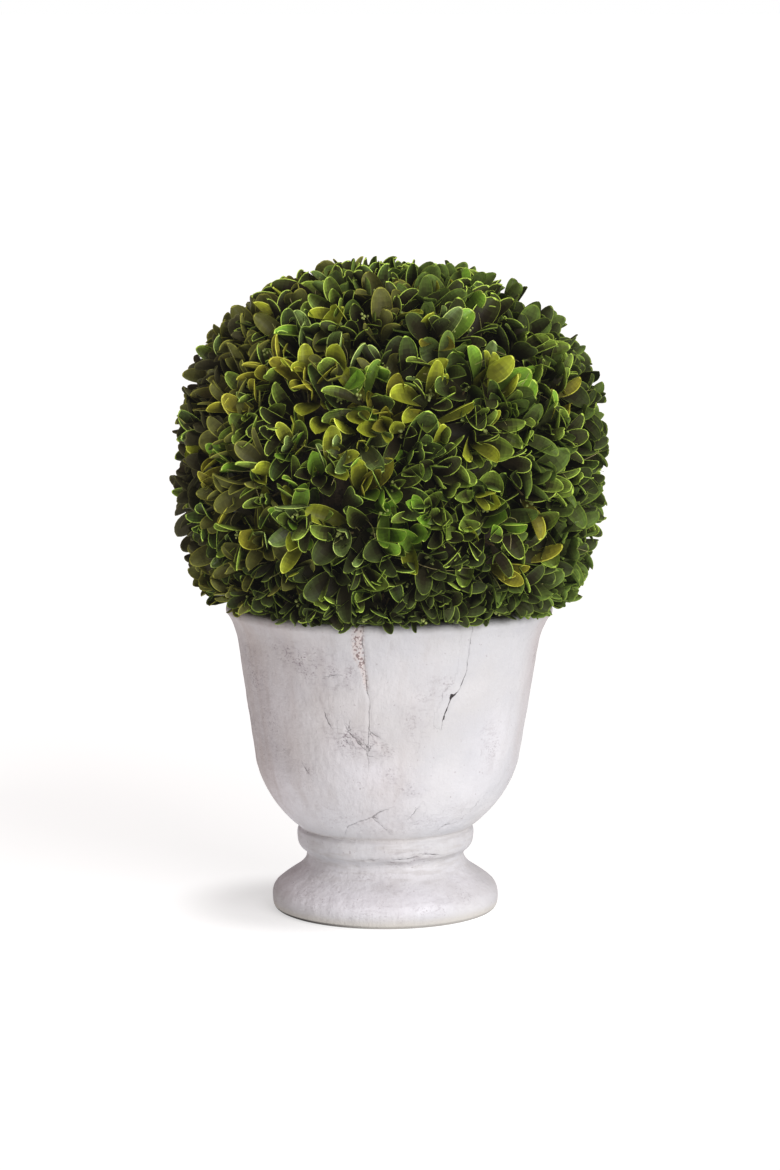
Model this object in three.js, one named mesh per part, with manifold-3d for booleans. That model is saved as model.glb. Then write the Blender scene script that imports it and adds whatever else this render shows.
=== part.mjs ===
// A clipped box ball on a short stem, standing in a whitewashed footed pot.
// Millimetres, +Z up. The origin is the centre of the pot's flat underside.
import * as THREE from "three";
import { mergeVertices } from "three/addons/utils/BufferGeometryUtils.js";
import Module from "manifold-3d";

const wasm = await Module();
wasm.setup();

// Driving dimensions of the pot: a radius and a height for each place where its outline turns.
const FOOT = { radius: 65.2, underside: 62.6, widestZ: 7.5, shoulderRadius: 63.2, shoulderZ: 13.4 };
const NECK = { radius: 45.2, z: 30.5 };
const BEAD = { radius: 50.8, lowZ: 41, topRadius: 50, topZ: 46.6 };
const BOWL = { bottomRadius: 49.2, bottomZ: 47.8, shoulderRadius: 75.3, shoulderZ: 87 };
const LIP = { startRadius: 86.4, startZ: 155, radius: 93.8, edgeZ: 173, topRadius: 90.8, z: 178 };
const WALL = { thickness: 8.5, mouthRadius: 81, mouthRound: 3, edgeDrop: 5, floorZ: 57 };
// The hand-made bowl leans over its foot: millimetres sideways for each millimetre above the neck.
const LEAN = 0.0155;

// The points that pull the outline's curves between those places, as radius and height.
const PULL = {
  footEdge: [65.2, 0.6],
  footShoulder: [65.2, 10.9],
  footTop: [56.2, 20.5],
  neckUnder: [46.7, 22.5],
  neckOver: [45.2, 35.5],
  beadUnder: [50.8, 34],
  beadEdge: [51.4, 45.8],
  bowlLow: [61, 56],
  bowlHigh: [71.5, 70],
  lipLow: [87.6, 161.5],
  lipHigh: [90, 168],
  lipEdge: [94.3, 177.4],
};
// The inside of the bowl: how far its curve's two points lie in from the wall, and their heights.
const INSIDE_PULL = { highIn: 4, highZ: 69, lowIn: 20.8 };

// Driving dimensions of the plant.
const SOIL = { top: 148, dome: 2, domeShare: 0.6, ledge: 2, gap: 0.35 };
const TRUNK = { radius: 6.5, flare: 12, flarePower: 6, tipRadius: 5, height: 56, gap: 0.3, lean: 0.03 };
const BALL = { centreZ: 253.6, radius: 123.5, halfHeight: 118, squareness: 2.4 };
// Depths are measured in from the clipped outline, and tipSpread is how far past it a leaf may reach.
const DEPTH = { core: 19, root: 52, fork: 36, shootTip: 7, tipSpread: 3.5 };
const TWIG = { mains: 34, shoots: 98, mainRadius: 2.4, shootRadius: 2.8, aboveRim: 0.075 };
const LEAF = { length: 27, width: 18, thickness: 1.2, cup: 2.6, sink: 0.4, clearOfPot: 1 };
// Leaves grow in whorls down each shoot, and those of the lower whorl open wider.
const WHORLS = { count: 2, leaves: 3, gap: 4, offset: 5, step: 0.5, tipOpening: 0.85, lowOpening: 1.15 };
const VARY = { size: 0.08, opening: 0.16, spin: 0.3 };
const RETRY = { attempts: 9, shrink: 0.035 };

const SIDES = { pot: 40, trunk: 12, core: 20, twig: 3 };
const STEPS = { curve: 4, trunk: 8 };
const MERGE_DISTANCE = 1e-4;
const SEED = 4271;
const GOLDEN_ANGLE = Math.PI * (3 - Math.sqrt(5));

// A small seeded generator, so that the plant grows the same way each time.
function seededRandom(seed) {
  let state = seed;
  return () => {
    state = (state + 0x6d2b79f5) | 0;
    let mixed = Math.imul(state ^ (state >>> 15), 1 | state);
    mixed = (mixed + Math.imul(mixed ^ (mixed >>> 7), 61 | mixed)) ^ mixed;
    return ((mixed ^ (mixed >>> 14)) >>> 0) / 2 ** 32;
  };
}

// Solids and geometry: the two forms that a piece takes on its way to a mesh.
function solidOf(geometry) {
  const bare = geometry.index ? geometry.toNonIndexed() : geometry.clone();
  bare.deleteAttribute("normal");
  bare.deleteAttribute("uv");
  const merged = mergeVertices(bare, MERGE_DISTANCE);
  const mesh = new wasm.Mesh({
    numProp: 3,
    vertProperties: merged.attributes.position.array,
    triVerts: new Uint32Array(merged.index.array),
  });
  return new wasm.Manifold(mesh);
}

function geometryOf(solid) {
  const mesh = solid.getMesh();
  const geometry = new THREE.BufferGeometry();
  geometry.setAttribute("position", new THREE.BufferAttribute(mesh.vertProperties, 3));
  geometry.setIndex(new THREE.BufferAttribute(mesh.triVerts, 1));
  geometry.computeVertexNormals();
  return geometry;
}

// The one large body of a joined solid: sealed hollows are filled and loose scraps dropped.
function mainBodyOf(solid) {
  const bodies = solid.decompose();
  return bodies.reduce((largest, body) => (body.volume() > largest.volume() ? body : largest));
}

function addPiece(group, name, geometry, color, roughness) {
  const material = new THREE.MeshStandardMaterial({ color, roughness, metalness: 0 });
  const mesh = new THREE.Mesh(geometry, material);
  mesh.name = name;
  group.add(mesh);
}

// The sideways shift of the leaning bowl, and of all that stands in it, at a height.
function leanAt(z) {
  return LEAN * Math.max(0, z - NECK.z);
}

// A profile of radius and height turned round the upright axis and leant over.
function turned(profile) {
  const geometry = new THREE.LatheGeometry(profile, SIDES.pot).rotateX(Math.PI / 2);
  const position = geometry.attributes.position;
  for (let i = 0; i < position.count; i++) {
    position.setX(i, position.getX(i) + leanAt(position.getZ(i)));
  }
  return geometry;
}

// The pot's outline from the middle of its underside up to the top of its lip.
function potOutside() {
  const path = new THREE.Path();
  path.moveTo(0, 0);
  path.lineTo(FOOT.underside, 0);
  path.quadraticCurveTo(...PULL.footEdge, FOOT.radius, FOOT.widestZ);
  path.quadraticCurveTo(...PULL.footShoulder, FOOT.shoulderRadius, FOOT.shoulderZ);
  path.bezierCurveTo(...PULL.footTop, ...PULL.neckUnder, NECK.radius, NECK.z);
  path.bezierCurveTo(...PULL.neckOver, ...PULL.beadUnder, BEAD.radius, BEAD.lowZ);
  path.quadraticCurveTo(...PULL.beadEdge, BEAD.topRadius, BEAD.topZ);
  path.lineTo(BOWL.bottomRadius, BOWL.bottomZ);
  path.bezierCurveTo(...PULL.bowlLow, ...PULL.bowlHigh, BOWL.shoulderRadius, BOWL.shoulderZ);
  path.lineTo(LIP.startRadius, LIP.startZ);
  path.bezierCurveTo(...PULL.lipLow, ...PULL.lipHigh, LIP.radius, LIP.edgeZ);
  path.quadraticCurveTo(...PULL.lipEdge, LIP.topRadius, LIP.z);
  return path;
}

// The radius of the bowl's inside, between its shoulder and the start of its lip.
function insideRadius(z) {
  const share = (z - BOWL.shoulderZ) / (LIP.startZ - BOWL.shoulderZ);
  return THREE.MathUtils.lerp(BOWL.shoulderRadius, LIP.startRadius, share) - WALL.thickness;
}

// The curve of the bowl's inside from its shoulder down to the middle of its floor.
function insideCurve(path, fromFloor, gap) {
  const shoulder = insideRadius(BOWL.shoulderZ) - gap;
  const floor = WALL.floorZ + gap;
  const high = [shoulder - INSIDE_PULL.highIn, INSIDE_PULL.highZ + gap];
  const low = [shoulder - INSIDE_PULL.lowIn, floor];
  if (fromFloor) {
    path.moveTo(0, floor);
    path.bezierCurveTo(...low, ...high, shoulder, BOWL.shoulderZ);
  } else {
    path.bezierCurveTo(...high, ...low, 0, floor);
  }
}

function potWall() {
  const path = potOutside();
  path.lineTo(WALL.mouthRadius + WALL.mouthRound, LIP.z);
  path.quadraticCurveTo(WALL.mouthRadius, LIP.z, WALL.mouthRadius - 1, LIP.z - WALL.edgeDrop);
  path.lineTo(insideRadius(LIP.startZ), LIP.startZ);
  path.lineTo(insideRadius(BOWL.shoulderZ), BOWL.shoulderZ);
  insideCurve(path, false, 0);
  return turned(path.getPoints(STEPS.curve));
}

// The fill follows the inside of the wall a hair's breadth away, and domes a little at the top.
function pottingSoil() {
  const path = new THREE.Path();
  insideCurve(path, true, SOIL.gap);
  const edge = insideRadius(SOIL.top) - SOIL.gap;
  const crownZ = SOIL.top + SOIL.dome;
  path.lineTo(edge, SOIL.top);
  path.quadraticCurveTo(edge * SOIL.domeShare, crownZ, TRUNK.flare + SOIL.ledge, crownZ);
  path.lineTo(0, crownZ);
  return turned(path.getPoints(STEPS.curve));
}

const TRUNK_FOOT_Z = SOIL.top + SOIL.dome + TRUNK.gap;

// The trunk's radius at a share of its height: flared roots below, an even taper above.
function trunkRadius(share) {
  const taper = THREE.MathUtils.lerp(TRUNK.radius, TRUNK.tipRadius, share);
  return taper + (TRUNK.flare - TRUNK.radius) * (1 - share) ** TRUNK.flarePower;
}

// The trunk, or the hollow that holds it when it is made wider and longer by a clearance.
function trunkShape(clearance) {
  const profile = [new THREE.Vector2(0, -clearance)];
  for (let i = 0; i <= STEPS.trunk; i++) {
    const share = i / STEPS.trunk;
    const height = THREE.MathUtils.lerp(-clearance, TRUNK.height + clearance, share);
    profile.push(new THREE.Vector2(trunkRadius(share) + clearance, height));
  }
  profile.push(new THREE.Vector2(0, TRUNK.height + clearance));
  const geometry = new THREE.LatheGeometry(profile, SIDES.trunk).rotateX(Math.PI / 2);
  const position = geometry.attributes.position;
  for (let i = 0; i < position.count; i++) {
    position.setX(i, position.getX(i) + TRUNK.lean * position.getZ(i));
  }
  return geometry.translate(leanAt(TRUNK_FOOT_Z), 0, TRUNK_FOOT_Z);
}

const BALL_CENTRE = new THREE.Vector3(leanAt(BALL.centreZ), 0, BALL.centreZ);

// The clipped outline: how far the ball reaches from its centre along a direction.
function ballReach(direction) {
  const across = Math.hypot(direction.x, direction.y) / BALL.radius;
  const up = Math.abs(direction.z) / BALL.halfHeight;
  const power = BALL.squareness;
  return (across ** power + up ** power) ** (-1 / power);
}

// The point on a direction from the ball's centre that lies a depth inside its outline.
function pointInBall(direction, depth) {
  return BALL_CENTRE.clone().addScaledVector(direction, ballReach(direction) - depth);
}

// The dense heart of the ball, which the twigs stand out of.
function ballCore() {
  const geometry = new THREE.SphereGeometry(1, SIDES.core, SIDES.core / 2 + 2).rotateX(Math.PI / 2);
  const position = geometry.attributes.position;
  const direction = new THREE.Vector3();
  for (let i = 0; i < position.count; i++) {
    direction.fromBufferAttribute(position, i).normalize();
    position.setXYZ(i, ...pointInBall(direction, DEPTH.core));
  }
  return solidOf(geometry);
}

// The pot with its mouth filled, grown a little: no twig or leaf may touch it.
function spaceOfPot() {
  const grow = LEAF.clearOfPot;
  const profile = potOutside().getPoints(STEPS.curve);
  const grown = profile.map((point) => new THREE.Vector2(point.x && point.x + grow, point.y || -grow));
  const top = LIP.z + grow;
  grown[grown.length - 1].y = top;
  grown.push(new THREE.Vector2(0, top));
  return solidOf(turned(grown));
}

// A frame of three axes with its last one along a direction, turned about it by an angle.
function frameAlong(direction, turn) {
  const steep = Math.abs(direction.z) > 0.9;
  const helper = steep ? new THREE.Vector3(1, 0, 0) : new THREE.Vector3(0, 0, 1);
  const side = new THREE.Vector3().crossVectors(helper, direction).normalize();
  side.applyAxisAngle(direction, turn);
  return { side, front: new THREE.Vector3().crossVectors(direction, side), along: direction };
}

// A three-sided twig that tapers from a radius at one point to a bud's point at another.
// The first of its three sides faces the side of its frame.
function twig(from, to, radius, turn) {
  const frame = frameAlong(to.clone().sub(from).normalize(), turn);
  const geometry = new THREE.ConeGeometry(radius, from.distanceTo(to), SIDES.twig, 1, false, Math.PI / 3);
  const place = new THREE.Matrix4().makeBasis(frame.front, frame.along, frame.side);
  geometry.applyMatrix4(place.setPosition(from.clone().lerp(to, 0.5)));
  return solidOf(geometry);
}

// One leaf of eight faces: a blunt blade that curls up lengthwise, with a keel under it.
// It lies along +X with its root at the origin, its hollow side towards +Z.
function leafBlade(length, width) {
  const corners = [
    [0, 0, 0],
    [0.5 * length, 0.5 * width, 0.35 * LEAF.cup],
    [0.95 * length, 0.24 * width, LEAF.cup],
    [0.95 * length, -0.24 * width, LEAF.cup],
    [0.5 * length, -0.5 * width, 0.35 * LEAF.cup],
    [0.55 * length, 0, -LEAF.thickness],
  ];
  const hollowSide = [0, 4, 1, 1, 4, 3, 1, 3, 2];
  const keelSide = [5, 0, 1, 5, 1, 2, 5, 2, 3, 5, 3, 4, 5, 4, 0];
  const geometry = new THREE.BufferGeometry();
  geometry.setAttribute("position", new THREE.Float32BufferAttribute(corners.flat(), 3));
  geometry.setIndex([...hollowSide, ...keelSide]);
  return geometry;
}

// A leaf on a twig: it opens by an angle from the twig, to the side of the frame that it is given.
function leafOn(point, frame, opening, size) {
  const outward = frame.along.clone().multiplyScalar(Math.cos(opening));
  outward.addScaledVector(frame.side, Math.sin(opening));
  const facing = frame.along.clone().multiplyScalar(Math.sin(opening));
  facing.addScaledVector(frame.side, -Math.cos(opening));
  const across = new THREE.Vector3().crossVectors(facing, outward);
  const root = point.clone().addScaledVector(outward, -LEAF.sink);
  const place = new THREE.Matrix4().makeBasis(outward, across, facing).setPosition(root);
  const blade = leafBlade(LEAF.length * size, LEAF.width * size);
  return solidOf(blade.applyMatrix4(place));
}

// Even directions all round, from the top of the ball down to a lowest height on the unit sphere.
function evenDirections(count, lowest) {
  const directions = [];
  for (let i = 0; i < count; i++) {
    const height = 1 - ((i + 0.5) / count) * (1 - lowest);
    const across = Math.sqrt(1 - height * height);
    const angle = i * GOLDEN_ANGLE;
    directions.push(new THREE.Vector3(across * Math.cos(angle), across * Math.sin(angle), height));
  }
  return directions;
}

// The twigs: main twigs end in forks inside the core, and each shoot grows out of the nearest fork.
// A shoot that would touch the pot is skipped.
function growTwigs(random, potSpace) {
  const rimSlope = Math.atan2(LIP.z - BALL.centreZ, LIP.radius);
  const lowest = Math.sin(rimSlope + TWIG.aboveRim);
  const mains = evenDirections(TWIG.mains, lowest).map((direction) => {
    const fork = pointInBall(direction, DEPTH.fork);
    return { fork, solid: twig(pointInBall(direction, DEPTH.root), fork, TWIG.mainRadius, 0) };
  });
  const shoots = [];
  for (const direction of evenDirections(TWIG.shoots, lowest)) {
    const tip = pointInBall(direction, DEPTH.shootTip);
    const distances = mains.map((main) => main.fork.distanceTo(tip));
    const { fork } = mains[distances.indexOf(Math.min(...distances))];
    const turn = random() * Math.PI;
    const solid = twig(fork, tip, TWIG.shootRadius, turn);
    if (touches(solid, [potSpace])) continue;
    shoots.push({ solid, tip, turn, along: tip.clone().sub(fork).normalize() });
  }
  return { mains: mains.map((main) => main.solid), shoots };
}

// One leaf of a whorl, tried several times, each a little smaller and turned another way.
// It is skipped where it would leave the ball's space or touch the pot, the core or its neighbours.
function tryLeaf(shoot, whorl, place, random, keepClear) {
  const vary = (amount) => 1 + amount * (2 * random() - 1);
  const lowness = whorl / (WHORLS.count - 1);
  const opening = THREE.MathUtils.lerp(WHORLS.tipOpening, WHORLS.lowOpening, lowness);
  const depth = WHORLS.offset + WHORLS.gap * whorl + WHORLS.step * place;
  const point = shoot.tip.clone().addScaledVector(shoot.along, -depth);
  for (let attempt = 0; attempt < RETRY.attempts; attempt++) {
    const turn = (place * 2 * Math.PI) / WHORLS.leaves + VARY.spin * (2 * random() - 1);
    const size = vary(VARY.size) * (1 - RETRY.shrink * attempt);
    const frame = frameAlong(shoot.along, shoot.turn + turn);
    const leaf = leafOn(point, frame, opening * vary(VARY.opening), size);
    if (!leavesSpace(leaf) && !touches(leaf, keepClear)) return leaf;
  }
  return null;
}

// The foliage ball: the core, the twigs and the leaves fused into one, cut clear of the trunk.
function foliageBall() {
  const random = seededRandom(SEED);
  const potSpace = spaceOfPot();
  const core = ballCore();
  const { mains, shoots } = growTwigs(random, potSpace);
  const leaves = [];
  for (let whorl = 0; whorl < WHORLS.count; whorl++) {
    for (const shoot of shoots) {
      const otherShoots = shoots.filter((other) => other !== shoot).map((other) => other.solid);
      for (let place = 0; place < WHORLS.leaves; place++) {
        const keepClear = [potSpace, core, ...otherShoots, ...leaves];
        const leaf = tryLeaf(shoot, whorl, place, random, keepClear);
        if (leaf) leaves.push(leaf);
      }
    }
  }
  const twigs = [...mains, ...shoots.map((shoot) => shoot.solid)];
  const joined = wasm.Manifold.union([core, ...twigs, ...leaves]);
  return mainBodyOf(joined.subtract(solidOf(trunkShape(TRUNK.gap))));
}

// Whether a solid shares any space with one of the others.
function touches(solid, others) {
  const box = solid.boundingBox();
  return others.some((other) => {
    const near = other.boundingBox();
    const isApart = (axis) => box.min[axis] > near.max[axis] || box.max[axis] < near.min[axis];
    return ![0, 1, 2].some(isApart) && !solid.intersect(other).isEmpty();
  });
}

// Whether a leaf reaches out of the ball's space: the clipped outline and the spread of its tips.
function leavesSpace(leaf) {
  const { vertProperties } = leaf.getMesh();
  const offset = new THREE.Vector3();
  for (let i = 0; i < vertProperties.length; i += 3) {
    offset.fromArray(vertProperties, i).sub(BALL_CENTRE);
    const reach = ballReach(offset.clone().normalize()) + DEPTH.tipSpread;
    if (offset.length() > reach) return true;
  }
  return false;
}

const topiary = new THREE.Group();
addPiece(topiary, "pot", potWall(), 0xe2dfe0, 0.9);
addPiece(topiary, "potting_soil", pottingSoil(), 0x3a2c20, 1);
addPiece(topiary, "trunk", trunkShape(0), 0x6d5a44, 0.9);
addPiece(topiary, "foliage_ball", geometryOf(foliageBall()), 0x3c5220, 0.55);

export default topiary;
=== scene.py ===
# %% [markdown]
# # A clipped box ball in a whitewashed footed pot
#
# This lesson dresses a measured model of a potted topiary ball. The measured model is the frame: it
# gives the size and place of every piece, and nothing here moves it. Each step below makes one real
# piece in mesh code, gives it a procedural finish, and puts it where the frame says.

# %% The frame
import math

import bpy
import numpy as np
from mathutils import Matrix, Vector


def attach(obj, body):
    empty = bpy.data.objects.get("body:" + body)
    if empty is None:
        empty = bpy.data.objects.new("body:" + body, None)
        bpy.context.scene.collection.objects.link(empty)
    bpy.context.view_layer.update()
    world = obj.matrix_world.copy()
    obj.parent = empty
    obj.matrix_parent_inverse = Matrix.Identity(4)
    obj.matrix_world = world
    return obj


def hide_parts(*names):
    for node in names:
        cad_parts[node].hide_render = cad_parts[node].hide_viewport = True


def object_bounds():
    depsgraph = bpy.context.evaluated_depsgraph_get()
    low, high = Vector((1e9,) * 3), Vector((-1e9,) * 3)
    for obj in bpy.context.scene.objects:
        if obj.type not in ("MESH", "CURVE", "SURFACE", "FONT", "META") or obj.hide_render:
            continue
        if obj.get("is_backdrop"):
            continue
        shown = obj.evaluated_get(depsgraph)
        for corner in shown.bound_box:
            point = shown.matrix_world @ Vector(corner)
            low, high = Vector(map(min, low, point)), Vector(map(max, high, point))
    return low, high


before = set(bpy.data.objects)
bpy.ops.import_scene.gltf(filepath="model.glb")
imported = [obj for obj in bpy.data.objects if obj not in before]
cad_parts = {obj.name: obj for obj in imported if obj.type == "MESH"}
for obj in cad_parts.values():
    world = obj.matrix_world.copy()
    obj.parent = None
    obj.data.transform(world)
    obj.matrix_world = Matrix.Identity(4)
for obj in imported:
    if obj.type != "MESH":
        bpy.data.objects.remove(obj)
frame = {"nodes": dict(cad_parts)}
cad_low, cad_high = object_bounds()
MM = 0.001
print("pieces of the frame:", ", ".join(frame["nodes"]))
print("frame box in mm:", [round(side / MM) for side in cad_high - cad_low])

# %% [markdown]
# ## The camera
#
# A photograph of a round pot holds its own camera data: the ellipses of the rim, the bead and the
# foot open more the further they lie below the lens. Fitting all three gives the height of the
# camera, its tilt and its distance, so no guess by eye is needed.

# %% The camera at the photograph's place
PHOTO_WIDTH, PHOTO_HEIGHT = 780, 1170
FOCAL_PIXELS = 4049
SENSOR_MM = 36.0
CAMERA_DISTANCE, CAMERA_HEIGHT, CAMERA_SIDE = 2290.0, 529.0, 2.7
CAMERA_DOWN = 8.5

camera_data = bpy.data.cameras.new("photo_camera")
camera_data.sensor_width = SENSOR_MM
camera_data.lens = FOCAL_PIXELS / max(PHOTO_WIDTH, PHOTO_HEIGHT) * SENSOR_MM
camera_data.clip_end = 500.0
camera = bpy.data.objects.new("photo_camera", camera_data)
camera.location = (CAMERA_SIDE * MM, -CAMERA_DISTANCE * MM, CAMERA_HEIGHT * MM)
camera.rotation_euler = (math.radians(90 - CAMERA_DOWN), 0, 0)
bpy.context.scene.collection.objects.link(camera)
bpy.context.scene.camera = camera
print("lens:", round(camera_data.lens, 1), "mm")

# %% [markdown]
# ## Colours and nodes
#
# Colours are written as the hex values that a paint picker shows, which are sRGB. Light adds up in
# linear values, so one function turns each hex into those. A second small function adds a shader
# node, sets its values and joins its inputs, so that each material below reads as a short recipe. Two
# more start an empty material and turn a real size into the scale of a texture.


# %% Helpers for every material
def linear(hex_colour):
    """An sRGB hex colour as linear red, green, blue and alpha."""
    channels = [int(hex_colour[i : i + 2], 16) / 255 for i in (1, 3, 5)]
    toned = [c / 12.92 if c <= 0.04045 else ((c + 0.055) / 1.055) ** 2.4 for c in channels]
    return (*toned, 1.0)


def add_node(tree, kind, inputs=None, **settings):
    """Adds a node: settings are its own, and inputs are values or the sockets joined to it."""
    node = tree.nodes.new(kind)
    for name, value in settings.items():
        setattr(node, name, value)
    for name, value in (inputs or {}).items():
        if isinstance(value, bpy.types.NodeSocket):
            tree.links.new(value, node.inputs[name])
        else:
            node.inputs[name].default_value = value
    return node


def new_material(name):
    """An empty material, its node tree and its output node."""
    material = bpy.data.materials.new(name)
    material.use_nodes = True
    material.node_tree.nodes.clear()
    output = material.node_tree.nodes.new("ShaderNodeOutputMaterial")
    return material, material.node_tree, output


def per_mm(size):
    """The texture scale that makes one feature this many millimetres wide."""
    return 1.0 / (size * MM)


print("a pale grey in linear light:", [round(c, 3) for c in linear("#c6c6c9")])
print("a 2 mm grain has the texture scale", per_mm(2))

# %% [markdown]
# Most of the surfaces here are one plain colour with others over it in patches: limewash with drips
# and dirt, bark with a grey crust, a leaf with a mottle. So each is written as two tables. The first
# names the patterns: noise of a size in real millimetres, cut between two levels so that it gives a
# mask from 0 to 1, and stretched where the real mark runs one way. The second lists the colours, each
# with how thickly it lies and the masks that it shows through.

# %% Patterns and layers of colour
EVEN = (1.0, 1.0, 1.0)


def pattern_masks(tree, patterns):
    """Masks by name, from patterns of size in mm, low and high level, detail and stretch."""
    where = add_node(tree, "ShaderNodeTexCoord").outputs["Object"]
    masks = {}
    for name, (size, low, high, detail, stretch) in patterns.items():
        place = add_node(tree, "ShaderNodeMapping", {"Vector": where, "Scale": stretch}).outputs[0]
        grain = {"Vector": place, "Scale": per_mm(size), "Detail": detail}
        noise = add_node(tree, "ShaderNodeTexNoise", grain)
        levels = {"Value": noise.outputs["Fac"], "From Min": low, "From Max": high}
        masks[name] = add_node(tree, "ShaderNodeMapRange", levels).outputs["Result"]
    return masks


def painted(tree, base, masks, layers):
    """A base colour under others, each laid on by an amount where all of its masks meet."""
    # A mix node of colours takes its share in socket 0 and its colours in 6 and 7, and gives socket 2.
    colour = linear(base)
    for over, amount, names in layers:
        share = amount
        for name in names:
            product = add_node(tree, "ShaderNodeMath", {0: share, 1: masks[name]}, operation="MULTIPLY")
            share = product.outputs[0]
        both = {0: share, 6: colour, 7: linear(over)}
        colour = add_node(tree, "ShaderNodeMix", both, data_type="RGBA").outputs[2]
    return colour


print("a pattern that isn't stretched has the stretch", EVEN)

# %% [markdown]
# The masks give the relief as well: each bump is one of them, with a height in millimetres. A whole
# material is then one call, with its base colour, its tables and its shading.


# %% From the tables to a material
def surface(tree, output, colour, masks, relief, **shading):
    """Joins a colour and bumps, each a mask and its height in mm, in one shader with its shading."""
    # Shading is given by the names of the shader's own sockets, with _ for a space.
    inputs = {"Base Color": colour, **{name.replace("_", " "): value for name, value in shading.items()}}
    for name, height in relief:
        bump = {"Height": masks[name], "Distance": height * MM}
        if "Normal" in inputs:
            bump["Normal"] = inputs["Normal"]
        inputs["Normal"] = add_node(tree, "ShaderNodeBump", bump).outputs[0]
    shader = add_node(tree, "ShaderNodeBsdfPrincipled", inputs)
    tree.links.new(shader.outputs[0], output.inputs[0])


def finish(name, base, patterns, layers, relief, **shading):
    """A whole material from its tables."""
    material, tree, output = new_material(name)
    masks = pattern_masks(tree, patterns)
    surface(tree, output, painted(tree, base, masks, layers), masks, relief, **shading)
    return material


print("materials that came with the frame:", len(bpy.data.materials))

# %% [markdown]
# ## The studio
#
# The photograph shows a white sweep with hardly a shadow, lit from the right, above and in front.
# A product studio gets that from a sheet of white acrylic with a lamp under it: the sheet is so
# bright that shadows on it fade. So the floor here glows a little as well as catching light. Left of
# the pot's foot it glows less, because a soft shadow lies there in the photograph.


# %% The lit floor
STUDIO_RADIUS = 60.0
# The glow, and how much of it is left in the painted soft shadow; then that shadow's middle, left of the
# foot, and where its fade starts and ends, in mm.
ACRYLIC_GLOW, SHADOW_SHARE = 0.84, 0.68
SHADOW_LEFT, SHADOW_FROM, SHADOW_TO = 46.0, 38.0, 92.0


def stage_object(name, corners, faces, material):
    """A piece of the studio, in metres. It isn't part of the plant."""
    mesh = bpy.data.meshes.new(name)
    mesh.from_pydata(corners, [], faces)
    mesh.materials.append(material)
    piece = bpy.data.objects.new(name, mesh)
    bpy.context.scene.collection.objects.link(piece)
    piece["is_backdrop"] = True
    return piece


acrylic, tree, output = new_material("lit_white_acrylic")
where = add_node(tree, "ShaderNodeTexCoord").outputs["Object"]
from_shadow = {0: where, 1: (-SHADOW_LEFT * MM, 0, 0)}
away = add_node(tree, "ShaderNodeVectorMath", from_shadow, operation="DISTANCE").outputs["Value"]
fade = {"Value": away, "From Min": SHADOW_FROM * MM, "From Max": SHADOW_TO * MM}
fade |= {"To Min": SHADOW_SHARE * ACRYLIC_GLOW, "To Max": ACRYLIC_GLOW}
glow_here = add_node(tree, "ShaderNodeMapRange", fade, interpolation_type="SMOOTHSTEP").outputs["Result"]
sheet_values = {
    "Base Color": linear("#ababab"),
    "Roughness": 0.8,
    "Specular IOR Level": 0.0,
    "Emission Color": linear("#ffffff"),
    "Emission Strength": glow_here,
}
sheet = add_node(tree, "ShaderNodeBsdfPrincipled", sheet_values)
tree.links.new(sheet.outputs[0], output.inputs[0])
far = STUDIO_RADIUS
floor_corners = [(-far, -far, 0), (far, -far, 0), (far, far, 0), (-far, far, 0)]
stage_object("floor", floor_corners, [(0, 1, 2, 3)], acrylic)
print("floor:", 2 * far, "m across")

# %% [markdown]
# A lit wall of white cloth runs round the whole studio, far off. Only the camera sees it, so it adds
# no light.

# %% The lit wall
WALL_HEIGHT, WALL_SIDES = 40.0, 64

lit_cloth, tree, output = new_material("lit_white_cloth")
glow = add_node(tree, "ShaderNodeEmission", {"Color": linear("#ffffff"), "Strength": 1.0})
tree.links.new(glow.outputs[0], output.inputs[0])
wall_turns = [turn / WALL_SIDES * 2 * math.pi for turn in range(WALL_SIDES)]
wall_corners = [(far * math.cos(t), far * math.sin(t), z) for z in (-1, WALL_HEIGHT) for t in wall_turns]
side_pairs = [(i, (i + 1) % WALL_SIDES) for i in range(WALL_SIDES)]
wall_faces = [(i, after, after + WALL_SIDES, i + WALL_SIDES) for i, after in side_pairs]
backdrop = stage_object("lit_wall", wall_corners, wall_faces, lit_cloth)
for seen_by in ("diffuse", "glossy", "transmission", "volume_scatter", "shadow"):
    setattr(backdrop, "visible_" + seen_by, False)
print("wall panels:", len(wall_faces))

# %% [markdown]
# A wide sun stands for the softbox, because it lights the whole floor evenly. The room itself is dim:
# that leaves the deep shade between the leaves, and the pot's left side in half-shade. A white room
# also scatters a little light inside the lens, which lifts the deepest darks: the lens veil.

# %% Key light, fill and lens veil
SUN_STRENGTH, SUN_SOFTNESS = 2.62, 44.0
SUN_RIGHT, SUN_UP = 36.5, 25.0
ROOM_COLOUR, ROOM_STRENGTH = "#ffdcd6", 0.215
LENS_VEIL = 0.004

sun_data = bpy.data.lights.new("softbox_key", "SUN")
sun_data.energy = SUN_STRENGTH
sun_data.angle = math.radians(SUN_SOFTNESS)
sun = bpy.data.objects.new("softbox_key", sun_data)
sun.rotation_euler = (math.radians(90 - SUN_UP), 0, math.radians(SUN_RIGHT))
bpy.context.scene.collection.objects.link(sun)

world = bpy.data.worlds.new("studio_room")
world.use_nodes = True
room = world.node_tree.nodes["Background"].inputs
room["Color"].default_value = linear(ROOM_COLOUR)
room["Strength"].default_value = ROOM_STRENGTH
bpy.context.scene.world = world
view = bpy.context.scene.view_settings
view.view_transform = "Standard"
view.use_curve_mapping = True
view.curve_mapping.black_level = (-LENS_VEIL, -LENS_VEIL, -LENS_VEIL)
view.curve_mapping.update()
print("sun strength", SUN_STRENGTH, "room strength", ROOM_STRENGTH)

# %% [markdown]
# ## Meshes from arrays
#
# Everything below is modelled in millimetres in numpy arrays, and turned to metres when it becomes a
# mesh. Arrays make it cheap to shape hundreds of thousands of points with the same few formulas.


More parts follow.
